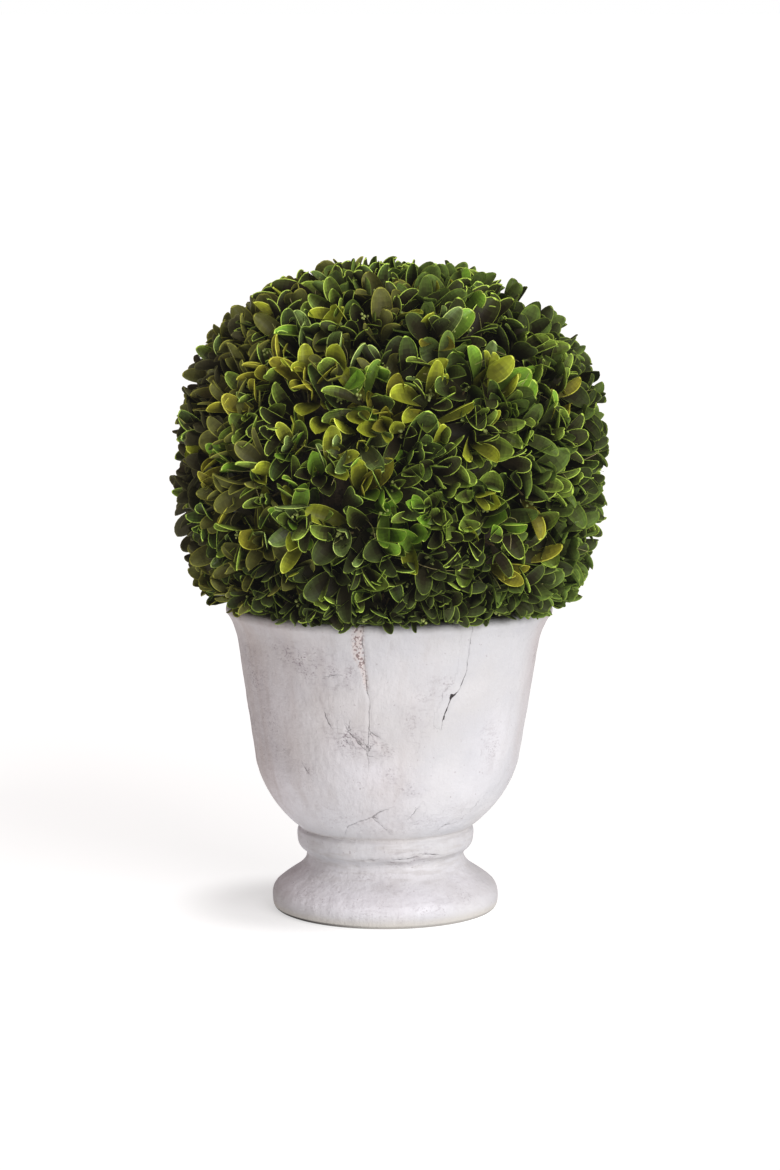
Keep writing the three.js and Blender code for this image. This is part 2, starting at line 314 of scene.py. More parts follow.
# %% A mesh, and the values that its points carry
def new_piece(name, points, quads, materials, caps=(), face_material=None):
    """A smooth-shaded object from points in mm, four-cornered faces and a few larger cap faces."""
    corners = np.concatenate([np.asarray(quads).ravel(), *[np.asarray(cap) for cap in caps]])
    sizes = np.array([4] * len(quads) + [len(cap) for cap in caps])
    starts = np.concatenate([[0], np.cumsum(sizes)[:-1]])
    mesh = bpy.data.meshes.new(name)
    mesh.vertices.add(len(points))
    mesh.vertices.foreach_set("co", (np.asarray(points) * MM).astype(np.float32).ravel())
    mesh.loops.add(len(corners))
    mesh.loops.foreach_set("vertex_index", corners.astype(np.int32))
    mesh.polygons.add(len(sizes))
    mesh.polygons.foreach_set("loop_start", starts.astype(np.int32))
    mesh.update(calc_edges=True)
    mesh.polygons.foreach_set("use_smooth", np.ones(len(sizes), dtype=bool))
    for material in materials:
        mesh.materials.append(material)
    if face_material is not None:
        mesh.polygons.foreach_set("material_index", np.asarray(face_material, dtype=np.int32))
    piece = bpy.data.objects.new(name, mesh)
    bpy.context.scene.collection.objects.link(piece)
    print(name, "has", len(sizes), "faces")
    return piece


def give_values(piece, name, values):
    """Stores one number for each point of a mesh, for its material to read."""
    attribute = piece.data.attributes.new(name, "FLOAT", "POINT")
    attribute.data.foreach_set("value", np.asarray(values, dtype=np.float32))


print("mesh points are stored in metres, so each millimetre counts as", MM)

# %% [markdown]
# Pot, soil, trunk, twigs and buds are all round grids: rows that run along the piece, and columns that
# go round it and close.


# %% The faces of round grids
def full_turn(columns):
    """Evenly spaced angles round a full turn, one for each column of a round grid."""
    return np.arange(columns) / columns * 2 * math.pi


def ring_quads(rows, columns):
    """The faces of a grid of rows whose columns close into rings."""
    row = np.arange(rows - 1)[:, None] * columns
    column = np.arange(columns)[None, :]
    after = (column + 1) % columns
    corners = [row + column, row + after, row + columns + after, row + columns + column]
    return np.stack(corners, -1).reshape(-1, 4)


def end_caps(rows, columns):
    """The two faces that close a round grid, below its first row and above its last."""
    first = np.arange(columns)
    return [first[::-1], (rows - 1) * columns + first]


def repeated(quads, copies, points_each):
    """The faces of many copies of one grid, whose points follow each other."""
    shift = np.arange(copies) * points_each
    return (quads[None] + shift[:, None, None]).reshape(-1, 4)


print("faces of a grid of 3 by 8:", len(ring_quads(3, 8)))

# %% [markdown]
# Hand-made things are uneven in a smooth way. Value noise gives that: every corner of a grid of cells
# gets a number of its own, scrambled from its place, and between the corners the numbers blend. Bezier
# curves give the smooth profiles, and a soft step fades one thing into another.


# %% Noise, curves and soft steps
# Large odd numbers, for x, y, z and the seed, that scramble a corner's place to a number of its own.
SCRAMBLE = (73856093, 19349663, 83492791, 40503)
SCRAMBLE_AGAIN = 1274126177


def smooth_step(value, low, high):
    """0 up to low, 1 from high on, and a soft rise between them."""
    share = np.clip((value - low) / (high - low), 0, 1)
    return share * share * (3 - 2 * share)


def smooth_noise(points, cell, seed):
    """Noise from -1 to 1 at each point, which changes over about one cell, in mm."""
    place = np.asarray(points) / cell
    base = np.floor(place).astype(np.int64)
    share = smooth_step(place - base, 0, 1)
    total = np.zeros(len(place))
    for corner in np.ndindex(2, 2, 2):
        x, y, z = (base + corner).T * np.array(SCRAMBLE[:3])[:, None]
        mixed = x ^ y ^ z ^ (seed * SCRAMBLE[3])
        mixed = ((mixed ^ (mixed >> 13)) * SCRAMBLE_AGAIN) & 0xFFFFFFFF
        value = ((mixed ^ (mixed >> 15)) & 0xFFFF) / 32767.5 - 1
        weight = np.prod(np.where(corner, share, 1 - share), axis=1)
        total += value * weight
    return total


def layered_noise(points, layers):
    """Noises that add up: each has a height and a width in mm, and a seed."""
    return sum(height * smooth_noise(points, width, seed) for height, width, seed in layers)


def bezier(points, step):
    """Points along a curve of any degree about one step apart, without its first point."""
    points = np.array(points, dtype=float)
    degree = len(points) - 1
    length = np.linalg.norm(np.diff(points, axis=0), axis=1).sum()
    t = np.linspace(0, 1, max(1, round(length / step)) + 1)[1:, None]
    weights = [math.comb(degree, k) * t**k * (1 - t) ** (degree - k) for k in range(degree + 1)]
    return sum(weight * point for weight, point in zip(weights, points))


print("noise at three points:", smooth_noise([[0, 0, 0], [5, 5, 5], [9, 2, 7]], 10, 1).round(2))

# %% [markdown]
# ## The pot
#
# The real pot is thrown or cast terracotta under a thick coat of limewash, which has cracked, chipped
# and rubbed through in places. Its form is a profile turned round an axis, so the mesh is a lathe
# grid: rows follow the profile, columns go round. The rows are about a millimetre apart, so that dents,
# cracks and crumbled patches can be true relief and not only a picture of it.

# %% The pot's profile, from the middle of its underside up over the lip and down inside
FOOT_UNDERSIDE, FOOT_RADIUS, FOOT_WIDEST_Z = 62.6, 65.2, 7.5
FOOT_SHOULDER, FOOT_SHOULDER_Z = 63.2, 13.4
NECK_RADIUS, NECK_Z = 45.2, 30.5
BEAD_RADIUS, BEAD_LOW_Z, BEAD_TOP, BEAD_TOP_Z = 50.8, 41.0, 50.0, 46.6
BOWL_BOTTOM, BOWL_BOTTOM_Z, BOWL_SHOULDER, BOWL_SHOULDER_Z = 49.2, 47.8, 75.3, 87.0
LIP_START, LIP_START_Z, LIP_RADIUS, LIP_EDGE_Z, LIP_TOP, RIM_Z = 86.4, 155.0, 93.8, 173.0, 90.8, 178.0
MOUTH_RADIUS, MOUTH_ROUND, WALL, INSIDE_FLOOR_Z = 81.0, 3.0, 8.5, 57.0
LEAN = 0.0155
FINE, COARSE = 1.2, 5.0

inside_top = LIP_START - WALL
inside_low = BOWL_SHOULDER - WALL
floor_edge = (46, INSIDE_FLOOR_Z)
stretches = [
    (COARSE, [(2, 0), (FOOT_UNDERSIDE - 4, 0)]),
    (FINE, [(FOOT_UNDERSIDE - 4, 0), (FOOT_UNDERSIDE, 0)]),
    (FINE, [(FOOT_UNDERSIDE, 0), (FOOT_RADIUS, 0.6), (FOOT_RADIUS, FOOT_WIDEST_Z)]),
    (FINE, [(FOOT_RADIUS, FOOT_WIDEST_Z), (FOOT_RADIUS, 10.9), (FOOT_SHOULDER, FOOT_SHOULDER_Z)]),
    (FINE, [(FOOT_SHOULDER, FOOT_SHOULDER_Z), (56.2, 20.5), (46.7, 22.5), (NECK_RADIUS, NECK_Z)]),
    (FINE, [(NECK_RADIUS, NECK_Z), (NECK_RADIUS, 35.5), (BEAD_RADIUS, 34), (BEAD_RADIUS, BEAD_LOW_Z)]),
    (FINE * 0.7, [(BEAD_RADIUS, BEAD_LOW_Z), (51.4, 45.8), (BEAD_TOP, BEAD_TOP_Z)]),
    (FINE * 0.6, [(BEAD_TOP, BEAD_TOP_Z), (BOWL_BOTTOM, BOWL_BOTTOM_Z)]),
    (FINE, [(BOWL_BOTTOM, BOWL_BOTTOM_Z), (61, 56), (71.5, 70), (BOWL_SHOULDER, BOWL_SHOULDER_Z)]),
    (FINE, [(BOWL_SHOULDER, BOWL_SHOULDER_Z), (LIP_START, LIP_START_Z)]),
    (FINE, [(LIP_START, LIP_START_Z), (87.6, 161.5), (90, 168), (LIP_RADIUS, LIP_EDGE_Z)]),
    (FINE * 0.8, [(LIP_RADIUS, LIP_EDGE_Z), (94.3, 177.4), (LIP_TOP, RIM_Z)]),
    (FINE, [(LIP_TOP, RIM_Z), (MOUTH_RADIUS + MOUTH_ROUND, RIM_Z)]),
    (FINE, [(MOUTH_RADIUS + MOUTH_ROUND, RIM_Z), (MOUTH_RADIUS, RIM_Z), (MOUTH_RADIUS - 1, RIM_Z - 5)]),
    (COARSE, [(MOUTH_RADIUS - 1, RIM_Z - 5), (inside_top, LIP_START_Z)]),
    (COARSE, [(inside_top, LIP_START_Z), (inside_low, BOWL_SHOULDER_Z)]),
    (COARSE, [(inside_low, BOWL_SHOULDER_Z), (inside_low - 4, 69), floor_edge, (2, INSIDE_FLOOR_Z)]),
]
profile = np.concatenate([[(2, 0)], *[bezier(points, step) for step, points in stretches]])
print("profile rows:", len(profile))


# %% The turned grid
def lean_at(height):
    """How far the pot leans to the right at a height, in mm."""
    return LEAN * np.maximum(0, height - NECK_Z)


POT_COLUMNS = 400
tangent = np.gradient(profile, axis=0)
tangent /= np.linalg.norm(tangent, axis=1, keepdims=True)
angle = np.tile(full_turn(POT_COLUMNS), len(profile))
angle = np.where(angle > math.pi, angle - 2 * math.pi, angle)
radius, height = np.repeat(profile, POT_COLUMNS, axis=0).T
normal_out, normal_up = np.repeat(np.stack([tangent[:, 1], -tangent[:, 0]], 1), POT_COLUMNS, axis=0).T


def pot_points(extra):
    """The pot's points, each moved out along its normal by some millimetres."""
    out = radius + normal_out * extra
    up = height + normal_up * extra
    return np.stack([out * np.sin(angle) + lean_at(up), -out * np.cos(angle), up], 1)


smooth_pot = pot_points(0)
print("pot points:", len(smooth_pot))

# %% [markdown]
# ### Cracks and rubbed patches
#
# A mark is a line of places on the wall, each an angle in degrees from the front, a height and a
# half-width in millimetres. For each point of the mesh the nearest mark gives a signed distance
# across it. The relief uses that distance to press a groove, and the material uses it to draw an edge
# far sharper than the mesh, because a signed distance stays true between the points.
#
# The front has one long seam where the coat is crumbling, an open crack right of it, a star of creases
# at the seam's foot, and fine cracks low on the bowl.

# %% The cracks at the front
SEAM = [(-8.6, 177, 0.2), (-8.9, 166, 0.3), (-8.6, 154, 0.3), (-8.0, 143, 0.35), (-7.3, 134, 0.25)]
SEAM += [(-7.2, 123, 0.2), (-7.3, 112, 0.25), (-7.9, 104, 0.3), (-7.5, 98, 0.1)]
RIGHT_CRACK_TOP = [(29.0, 174, 0.24), (29.6, 169, 0.26), (30.4, 160, 0.14), (30.7, 150, 0.18)]
RIGHT_CRACK = [(30.7, 150, 0.2), (29.4, 145.7, 0.38), (28.6, 140, 0.3), (27.2, 137.6, 0.5)]
RIGHT_CRACK += [(26.2, 136.4, 0.9), (25.6, 136.0, 1.7), (25.1, 135.2, 1.3), (24.9, 134.0, 0.4)]
RIGHT_CRACK += [(24.5, 131, 0.36), (22.9, 122.5, 0.5)]
STAR_CREASES = [
    [(-25.9, 128, 0.1), (-25.2, 123.6, 0.3), (-23.2, 119, 0.3)],
    [(-16.6, 118, 0.25), (-15.6, 115, 0.4), (-13.4, 112, 0.35), (-11.4, 108.5, 0.35), (-8.6, 105, 0.25)],
    [(-15.2, 121, 0.1), (-14.8, 116.5, 0.3)],
    [(-12.8, 113, 0.2), (-11.0, 110, 0.35), (-9.2, 107, 0.25)],
    [(-16.9, 110.8, 0.15), (-15.4, 107.4, 0.25)],
    [(-9.0, 106, 0.25), (-7.6, 102.5, 0.4), (-6.6, 106, 0.2)],
    [(-6.5, 117, 0.2), (-5.4, 114.5, 0.3), (-3.6, 113.2, 0.2)],
]
BOWL_CRACKS = [
    [(-25, 51, 0.15), (-20, 57.5, 0.22), (-15.4, 60.6, 0.25), (-10, 62.2, 0.2), (-7.0, 63.6, 0.3)],
    [(-6.0, 64.8, 0.4), (-3.4, 68.2, 0.3), (-0.4, 69.8, 0.2)],
    [(-6.2, 63.8, 0.2), (-3.0, 59.5, 0.22), (1.5, 54.5, 0.16)],
]
BOWL_CHIP = [(-7.4, 63.4, 0.4), (-5.6, 65.0, 0.7)]
NICKS = [
    [(12.6, 66.5, 0.2), (14.2, 69.5, 0.3)],
    [(33.5, 55.2, 0.3), (37, 56.4, 0.35)],
    [(49.5, 68.4, 0.3), (50.4, 69.8, 0.2)],
    [(-36.6, 91.6, 0.35), (-35.4, 89.6, 0.3)],
    [(-22.4, 147.2, 0.2), (-20.6, 147.6, 0.3)],
    [(-12.0, 36.8, 0.2), (-9.0, 37.2, 0.3)],
    [(8.5, 37.4, 0.2), (13.0, 37.0, 0.25), (19.0, 37.8, 0.2)],
    [(26.0, 39.4, 0.15), (31.0, 38.6, 0.25), (37.0, 37.8, 0.15)],
]
# Each group of marks has how dark it is, up to 1.
MARKS = [(0.22, [SEAM]), (0.5, [RIGHT_CRACK_TOP]), (1.0, [RIGHT_CRACK]), (0.42, STAR_CREASES)]
MARKS += [(0.26, BOWL_CRACKS), (0.6, [BOWL_CHIP]), (0.45, NICKS)]
print(sum(len(group) for _, group in MARKS), "cracks and nicks at the front")

# %% [markdown]
# Along the seam the coat has crumbled down to the clay. Elsewhere it is only scuffed: strongly where
# hands took hold of it, faintly over the rest of the front, and least low on the bowl and on the foot.

# %% Crumbled and scuffed patches at the front
SEAM_CRUMBLE = [(-10.2, 177, 3.2), (-11.0, 166, 3.6), (-10.6, 160, 3.1), (-9.6, 154, 2.1)]
SEAM_CRUMBLE += [(-8.9, 149, 1.4), (-8.1, 141, 0.7)]
STAR_CRUMBLE = [
    [(-5.6, 114, 1.4), (-3.6, 109, 2.6), (-0.6, 105.6, 2.0)],
    [(-15, 113, 1.2), (-11, 109, 1.4)],
    [(-9, 63, 1.6), (-4.5, 66.5, 1.2)],
]
SCUFFS = [
    [(-42, 160, 8), (-30, 153, 12), (-17, 148, 8)],
    [(-66, 150, 9), (-60, 132, 9)],
    [(-18, 112, 9), (-4, 108, 8)],
    [(8, 37.5, 5), (30, 38, 5)],
]
FAINT_SCUFFS = [
    [(20, 143, 7), (12, 128, 8), (12, 112, 5)],
    [(2, 90, 6), (12, 82, 6)],
    [(46, 112, 7), (52, 92, 7)],
    [(-60, 132, 9), (-51, 98, 9)],
    [(-37, 92, 4), (-34, 90, 3)],
]
LOW_SCUFFS = [[(-34, 66, 7), (-10, 58, 7), (20, 60, 8), (44, 64, 7)]]
FOOT_SCUFFS = [[(-54, 17, 5), (-26, 10, 7), (12, 9, 8), (46, 14, 6)], [(-16, 26, 4), (10, 23, 6)]]
print(len(SCUFFS + FAINT_SCUFFS + LOW_SCUFFS + FOOT_SCUFFS), "scuffed patches at the front")

# %% [markdown]
# The back of the pot has to look as used as the front, though nobody has photographed it. So hairlines
# there wander down the wall by a seeded random walk, and crumbled patches sit at the start of some.

# %% More marks, all round the back
pot_random = np.random.default_rng(17)
# How much wider the chip is, how the rest varies, and each step's swerve in degrees and drop in mm.
CHIP_WIDENS, HAIRLINE_VARIES, SWERVE, STEP_DOWN = 2.6, (0.6, 1.2), 1.9, (4, 9)


def wandering_crack(start_angle, start_height, steps, half_width):
    """A hairline that wanders down the wall, with one wider chip in it."""
    places = []
    crack_angle, crack_height = start_angle, start_height
    chip = pot_random.integers(1, steps)
    for step in range(steps):
        wide = half_width * (CHIP_WIDENS if step == chip else pot_random.uniform(*HAIRLINE_VARIES))
        places.append((crack_angle, crack_height, wide))
        crack_angle += pot_random.normal(0, SWERVE)
        crack_height -= pot_random.uniform(*STEP_DOWN)
    return places


# Each crack's first angle and height, and its number of steps.
BACK_STARTS = [(96, 176, 8), (142, 120, 6), (178, 177, 11), (-152, 138, 7)]
BACK_STARTS += [(-118, 176, 9), (-84, 104, 5), (86, 112, 4)]
HAIRLINE_HALF, CRUMBLE_HALF, CRUMBLE_TAPER, CRUMBLED_STEPS = 0.22, 2.4, 0.5, 4
BACK_SCUFFS = [(76, 150), (94, 66), (120, 96), (148, 152), (172, 62)]
BACK_SCUFFS += [(-164, 112), (-136, 150), (-108, 74), (-92, 120)]
SCUFF_HALF, SCUFF_TURN, SCUFF_DROP = 9, 14, 9

back_cracks = [wandering_crack(start, top, steps, HAIRLINE_HALF) for start, top, steps in BACK_STARTS]
back_crumble = [
    [(*place[:2], CRUMBLE_HALF - CRUMBLE_TAPER * i) for i, place in enumerate(crack[:CRUMBLED_STEPS])]
    for crack in back_cracks[::2]
]
back_scuffs = [
    [(turn, z, SCUFF_HALF), (turn + SCUFF_TURN, z - SCUFF_DROP, SCUFF_HALF + 1)] for turn, z in BACK_SCUFFS
]
MARKS += [(0.35, back_cracks[::2]), (0.7, back_cracks[1::2])]
# Each group of patches has how bare the clay is, and each group of scuffs how strong they are.
PATCHES = [(1.0, [SEAM_CRUMBLE] + back_crumble), (0.12, STAR_CRUMBLE)]
ALL_SCUFFS = [(1.0, SCUFFS), (0.5, FAINT_SCUFFS), (0.3, LOW_SCUFFS), (0.35, FOOT_SCUFFS)]
ALL_SCUFFS += [(0.8, back_scuffs)]
print(sum(len(group) for _, group in MARKS), "cracks and nicks on the wall")


# %% How far each point lies from the marks
WANDER = 0.8
CRACK_REACH, PATCH_REACH, SCUFF_REACH = 6.0, 9.0, 24.0


def nearest_mark(groups, reach):
    """The signed distance in mm across the nearest mark, its half-width there, and its group's value."""
    across = np.full(len(angle), float(reach))
    half_width = np.zeros(len(angle))
    value = np.zeros(len(angle))
    wander = np.stack([smooth_noise(smooth_pot, 7, 51), smooth_noise(smooth_pot, 7, 52)], 1) * WANDER
    for group_value, marks in groups:
        for (a0, z0, w0), (a1, z1, w1) in (stretch for mark in marks for stretch in zip(mark, mark[1:])):
            along = np.stack([np.radians(a1 - a0) * radius, np.full(len(angle), z1 - z0)], 1)
            turn = (angle - math.radians(a0) + math.pi) % (2 * math.pi) - math.pi
            offset = np.stack([turn * radius, height - z0], 1) + wander
            share = np.clip((along * offset).sum(1) / (along**2).sum(1), 0, 1)
            apart = offset - along * share[:, None]
            distance = np.hypot(*apart.T)
            side = np.sign(along[:, 0] * offset[:, 1] - along[:, 1] * offset[:, 0])
            closer = distance < np.abs(across)
            across = np.where(closer, distance * np.where(side == 0, 1, side), across)
            half_width = np.where(closer, w0 + (w1 - w0) * share, half_width)
            value = np.where(closer, group_value, value)
    return across, half_width, value


row_of_point = np.arange(len(radius)) // POT_COLUMNS
on_outside = (row_of_point < np.argmax(profile[:, 1] > RIM_Z - 0.5)).astype(float)
crack_across, crack_half, crack_dark = nearest_mark(MARKS, CRACK_REACH)
patch_across, patch_half, bare_clay = nearest_mark(PATCHES, PATCH_REACH)
scuff_across, scuff_half, scuff_strength = nearest_mark(ALL_SCUFFS, SCUFF_REACH)
crack_half *= on_outside
crumble = 1 - smooth_step(np.abs(patch_across), patch_half * 0.5, patch_half * 1.25 + 0.2)
crumble *= on_outside
scuff = 1 - smooth_step(np.abs(scuff_across), scuff_half * 0.2, scuff_half * 1.6 + 0.5)
scuff *= on_outside * scuff_strength
print("points in a crumbled patch:", int((crumble > 0.5).sum()))

# %% [markdown]
# ### The relief
#
# Shapes of several sizes add up: the slow swellings and the dents of a hand-made wall, the faint rings
# that a smoothing tool leaves as the pot turns, the grain of brushed limewash, a wavy rim, and the
# marks. The cracks are grooves with slightly lifted edges and the crumbled patches are pitted, so that
# light catches them.

# %% Press the marks into the wall
GROOVE_DEPTH, GROOVE_SOFTNESS = 0.5, 0.6
LIFTED_HEIGHT, LIFTED_AWAY, LIFTED_WIDTH = 0.16, 2.0, 1.0
CRUMBLE_DEPTH, RING_STRETCH = 0.3, 9
SMOOTH_FOOT_Z = (0.5, 6)

along_rings = smooth_pot * [1, 1, RING_STRETCH]
near_rim = smooth_step(height, RIM_Z - 9, RIM_Z - 2)
# Each kind has where it shows, the places its noise is read at, its height and width in mm, and a seed.
UNEVENNESS = {
    "slow swellings": (1, smooth_pot, 0.55, 48, 1),
    "dents": (1, smooth_pot, 0.2, 17, 2),
    "tool rings": (1, along_rings, 0.1, 46, 3),
    "brush marks": (1, smooth_pot, 0.06, 4.5, 4),
    "wavy rim": (near_rim, smooth_pot, 0.35, 11, 8),
    "crumbling": (crumble, smooth_pot, 0.4, 2.3, 5),
    "fine crumbling": (crumble, smooth_pot, 0.2, 1.3, 6),
    "scuffs": (scuff, smooth_pot, 0.09, 3.1, 7),
}
relief = -CRUMBLE_DEPTH * crumble
for shown, place, swelling, wide, seed in UNEVENNESS.values():
    relief += shown * swelling * smooth_noise(place, wide, seed)
crack_seen = smooth_step(crack_half, 0.05, 0.3)
relief -= crack_seen * GROOVE_DEPTH * np.exp(-((crack_across / (crack_half + GROOVE_SOFTNESS)) ** 2))
from_lifted = (np.abs(crack_across) - LIFTED_AWAY) / LIFTED_WIDTH
relief += crack_seen * LIFTED_HEIGHT * np.exp(-(from_lifted**2))
relief *= on_outside * smooth_step(height, *SMOOTH_FOOT_Z)
print("relief runs from", relief.min().round(2), "to", relief.max().round(2), "mm")

# %% Build the pot's mesh
# The profile runs from the underside up and in again, so all the faces turn the other way round.
pot_quads = ring_quads(len(profile), POT_COLUMNS)[:, ::-1]
pot_caps = [cap[::-1] for cap in end_caps(len(profile), POT_COLUMNS)]
pot = new_piece("whitewashed_pot", pot_points(relief), pot_quads, [], caps=pot_caps)

# %% [markdown]
# ### Whitewashed terracotta
#
# Limewash is chalky and fully matt, and it is never even: it ran down the wall in faint drips, thin
# places show the warm clay, handling has scuffed it with fine grey specks, and the groove over the
# bead is a little darker and browner. Where the coat has crumbled, the fired clay shows pinkish brown.
# In the cracks it is dark with dust. The specks are drawn at about a millimetre, coarser than the real
# ones, because finer ones vanish at this distance.

# %% Patterns and colours of the limewash
LIMEWASH = "#c6c6c9"
WASH_PATTERNS = {
    "warm_cloud": (60, 0.45, 0.7, 3.0, EVEN),
    "cold_cloud": (24, 0.46, 0.68, 3.0, EVEN),
    "thick_coat": (33, 0.5, 0.66, 4.0, EVEN),
    "drips": (5.5, 0.5, 0.66, 3.0, (1.0, 1.0, 0.1)),
    "wide_drips": (15, 0.44, 0.64, 3.0, (1.0, 1.0, 0.14)),
    "wipes": (3.2, 0.48, 0.64, 4.0, (0.22, 0.22, 1.3)),
    "smears": (7, 0.42, 0.66, 5.0, EVEN),
    "scratches": (2.6, 0.55, 0.63, 4.0, (0.5, 0.5, 1.5)),
    "specks": (1.4, 0.56, 0.63, 3.0, (1.0, 1.0, 1.3)),
    "speck_groups": (9, 0.44, 0.6, 2.0, EVEN),
    "pin_specks": (1.9, 0.7, 0.76, 1.0, EVEN),
    "flakes": (2.6, 0.3, 0.5, 4.0, EVEN),
    "pits": (1.45, 0.53, 0.58, 2.0, (1.0, 1.0, 0.8)),
    "ragged": (2.2, 0.2, 0.8, 3.0, EVEN),
    "broken": (4.5, 0.26, 0.54, 2.0, EVEN),
    "grain": (1.0, 0.2, 0.8, 4.0, EVEN),
    "brushing": (3.6, 0.25, 0.75, 4.0, (1.0, 1.0, 0.5)),
    "trowelling": (12, 0.3, 0.7, 3.0, (1.0, 1.0, 1.6)),
}
WASH_LAYERS = [
    ("#c0bbb5", 0.35, ["warm_cloud"]),
    ("#bdbec4", 0.4, ["cold_cloud"]),
    ("#d0cfd1", 0.6, ["thick_coat"]),
    # Painted light over the foot, the bowl, the far left and a few patches:
    ("#e1e1e7", 0.9, ["painted_light"]),
    ("#b4b0b0", 0.18, ["drips", "wide_drips"]),
    # Weather stains; near the pot's sides they also paint shade:
    ("#b3a3a0", 0.38, ["weathering_and_side_shade"]),
    ("#a6958e", 0.26, ["wide_drips", "weathering_and_side_shade"]),
    ("#9e918a", 0.14, ["drips", "weathering_and_side_shade"]),
    ("#aeaaa8", 0.4, ["wipes", "banded"]),
    ("#a8a3a8", 0.34, ["smears", "scuff"]),
    ("#928a8f", 0.36, ["scratches", "scuff"]),
    ("#7d7178", 0.72, ["specks", "speck_groups", "scuff"]),
    ("#8e8487", 0.5, ["pin_specks", "speck_groups"]),
    ("#cfc4c1", 0.8, ["flakes", "bare_clay"]),
    ("#705857", 0.8, ["pits", "bare_clay"]),
    # A darker, browner band in the groove over the bead:
    ("#aa9b88", 0.18, ["ledge_darkening"]),
    ("#bdb8ae", 0.66, ["worn_edge"]),
    # Painted contact shadow along the foot's bottom edge, and faint painted shade along the lip's top:
    ("#241f1c", 0.95, ["painted_edge_shade"]),
    ("#1c1216", 0.97, ["crack", "crack_dark"]),
]
print(len(WASH_PATTERNS), "patterns and", len(WASH_LAYERS), "layers of colour")

# %% [markdown]
# Wear has its places. The wall has weather streaks, most of all left and right of the front: on the left
# they are real staining with some painted shade, on the right painted shade towards the pot's edge. The
# foot, the bowl, the far left and a few patches get painted light: a brighter colour that stands for the
# light thrown up on them by the bright floor.
# The neck under the bead is banded by the wiping of the brush, the groove over the bead is a little
# darker and browner, and the foot ends in a worn edge with a painted contact shadow under it, darker on
# the side away from the light. A faint painted shade lies along the lip's top, under the leaves.

# %% Where the wall has weather streaks and painted side shade, and where light is painted on it
# Two streaks near the pot's sides: on the left real staining with some painted shade, on the right painted
# shade at its edge.
STREAK_LEFT, STREAK_RIGHT = (-1.25, 0.26, 1.0), (1.3, 0.25, 0.35)
# Patches of painted light: turn and height of the middle, half-widths of both, and strength.
PAINTED_LIGHT_PATCHES = [
    (-1.04, 74, 0.32, 17, 1.0),
    (-0.93, 124, 0.28, 26, 0.5),
    (-0.36, 106, 0.17, 14, 0.5),
    (0.9, 104, 0.25, 24, 0.42),
    (-0.08, 92, 0.2, 9, 0.55),
    (1.0, 22, 0.3, 6, 0.5),
]
# How strongly light is painted on the lower bowl and on the shaded far left.
BOWL_PAINTED_LIGHT, LEFT_PAINTED_LIGHT = 0.32, 0.8
STREAKINESS, STREAK_WIDTH, WALL_SPAN, DOWN_STRETCH = 0.7, 38, 60, 0.2


def between_heights(low, full, fading, gone):
    """1 from one height to another, fading out below and above."""
    return smooth_step(height, low, full) - smooth_step(height, fading, gone)


# Noise that is read on a round wall, and much more slowly down it than round it, gives streaks.
turned_round = np.stack([np.sin(angle) * WALL_SPAN, np.cos(angle) * WALL_SPAN, height * DOWN_STRETCH], 1)
streaks = STREAKINESS * smooth_noise(turned_round, STREAK_WIDTH, 9)
for turn, wide, strength in (STREAK_LEFT, STREAK_RIGHT):
    streaks += strength * np.exp(-(((angle - turn) / wide) ** 2))
weathering_and_side_shade = (0.2 + 0.8 * smooth_step(height, 40, 80)) * smooth_step(streaks, 0, 0.9)

on_foot = 0.6 * between_heights(4, 12, 16, 24) + 0.4 * between_heights(4, 12, 26, 36)
on_foot *= smooth_step(np.cos(angle - 0.1), 0.1, 0.6) * (1 - 0.7 * smooth_step(angle, 0.35, 0.85))
on_bowl = BOWL_PAINTED_LIGHT * between_heights(50, 58, 78, 104) * smooth_step(np.cos(angle + 0.1), 0.3, 0.95)
on_left = LEFT_PAINTED_LIGHT * between_heights(8, 16, 60, 80) * smooth_step(-np.sin(angle), 0.8, 0.98)
patches = sum(
    strength * np.exp(-(((angle - turn) / wide) ** 2) - ((height - middle) / tall) ** 2)
    for turn, middle, wide, tall, strength in PAINTED_LIGHT_PATCHES
)
# All of this is painted light, brighter where the floor's light would reach up the pot.
painted_light = (on_foot + on_left + on_bowl + patches).clip(0, 1)
print("share of the pot that is freshly coated:", painted_light.mean().round(2))

# %% The ledge, the worn edge, painted shade at the foot and the lip, and all values given to the mesh
LEDGE_WIDTH, LIP_SHADE, LIT_SIDE_SHADOW = 1.1, 0.35, 0.35

# A painted contact shadow along the foot's bottom edge: strongest on the shaded side, weaker on the lit
# one.
shaded_side = 0.3 + 0.7 * smooth_step(-np.sin(angle), -0.1, 0.8)
at_foot = np.maximum(shaded_side, LIT_SIDE_SHADOW) * (1 - smooth_step(height, 1.3, 2.1))
wear_and_painted_light = {
    "crack_across": crack_across,
    "crack_half": crack_half,
    "crack_dark": crack_dark,
    "bare_clay": crumble * bare_clay,
    "scuff": scuff,
    "weathering_and_side_shade": on_outside * weathering_and_side_shade,
    "painted_light": on_outside * painted_light,
    "banded": on_outside * (between_heights(16, 28, 44, 50) + 0.4 * near_rim),
    "ledge_darkening": on_outside * np.exp(-(((height - BOWL_BOTTOM_Z - 0.6) / LEDGE_WIDTH) ** 2)),
    "worn_edge": on_outside * (1 - smooth_step(height, 2, 7)),
    "painted_edge_shade": on_outside * np.maximum(at_foot, LIP_SHADE * smooth_step(height, RIM_Z - 4.0, RIM_Z - 0.5)),
}
for name, values in wear_and_painted_light.items():
    give_values(pot, name, values)
print("values at each point of the pot:", ", ".join(wear_and_painted_light))

# %% [markdown]
# The shader reads those values by name. A crack is where the distance across it is less than its
# half-width. Noise wobbles that distance, so the edge is ragged, and breaks the line here and there.

# %% The limewash
CRACK_RAGGEDNESS, CRACK_SOFTNESS = 0.8, 0.26

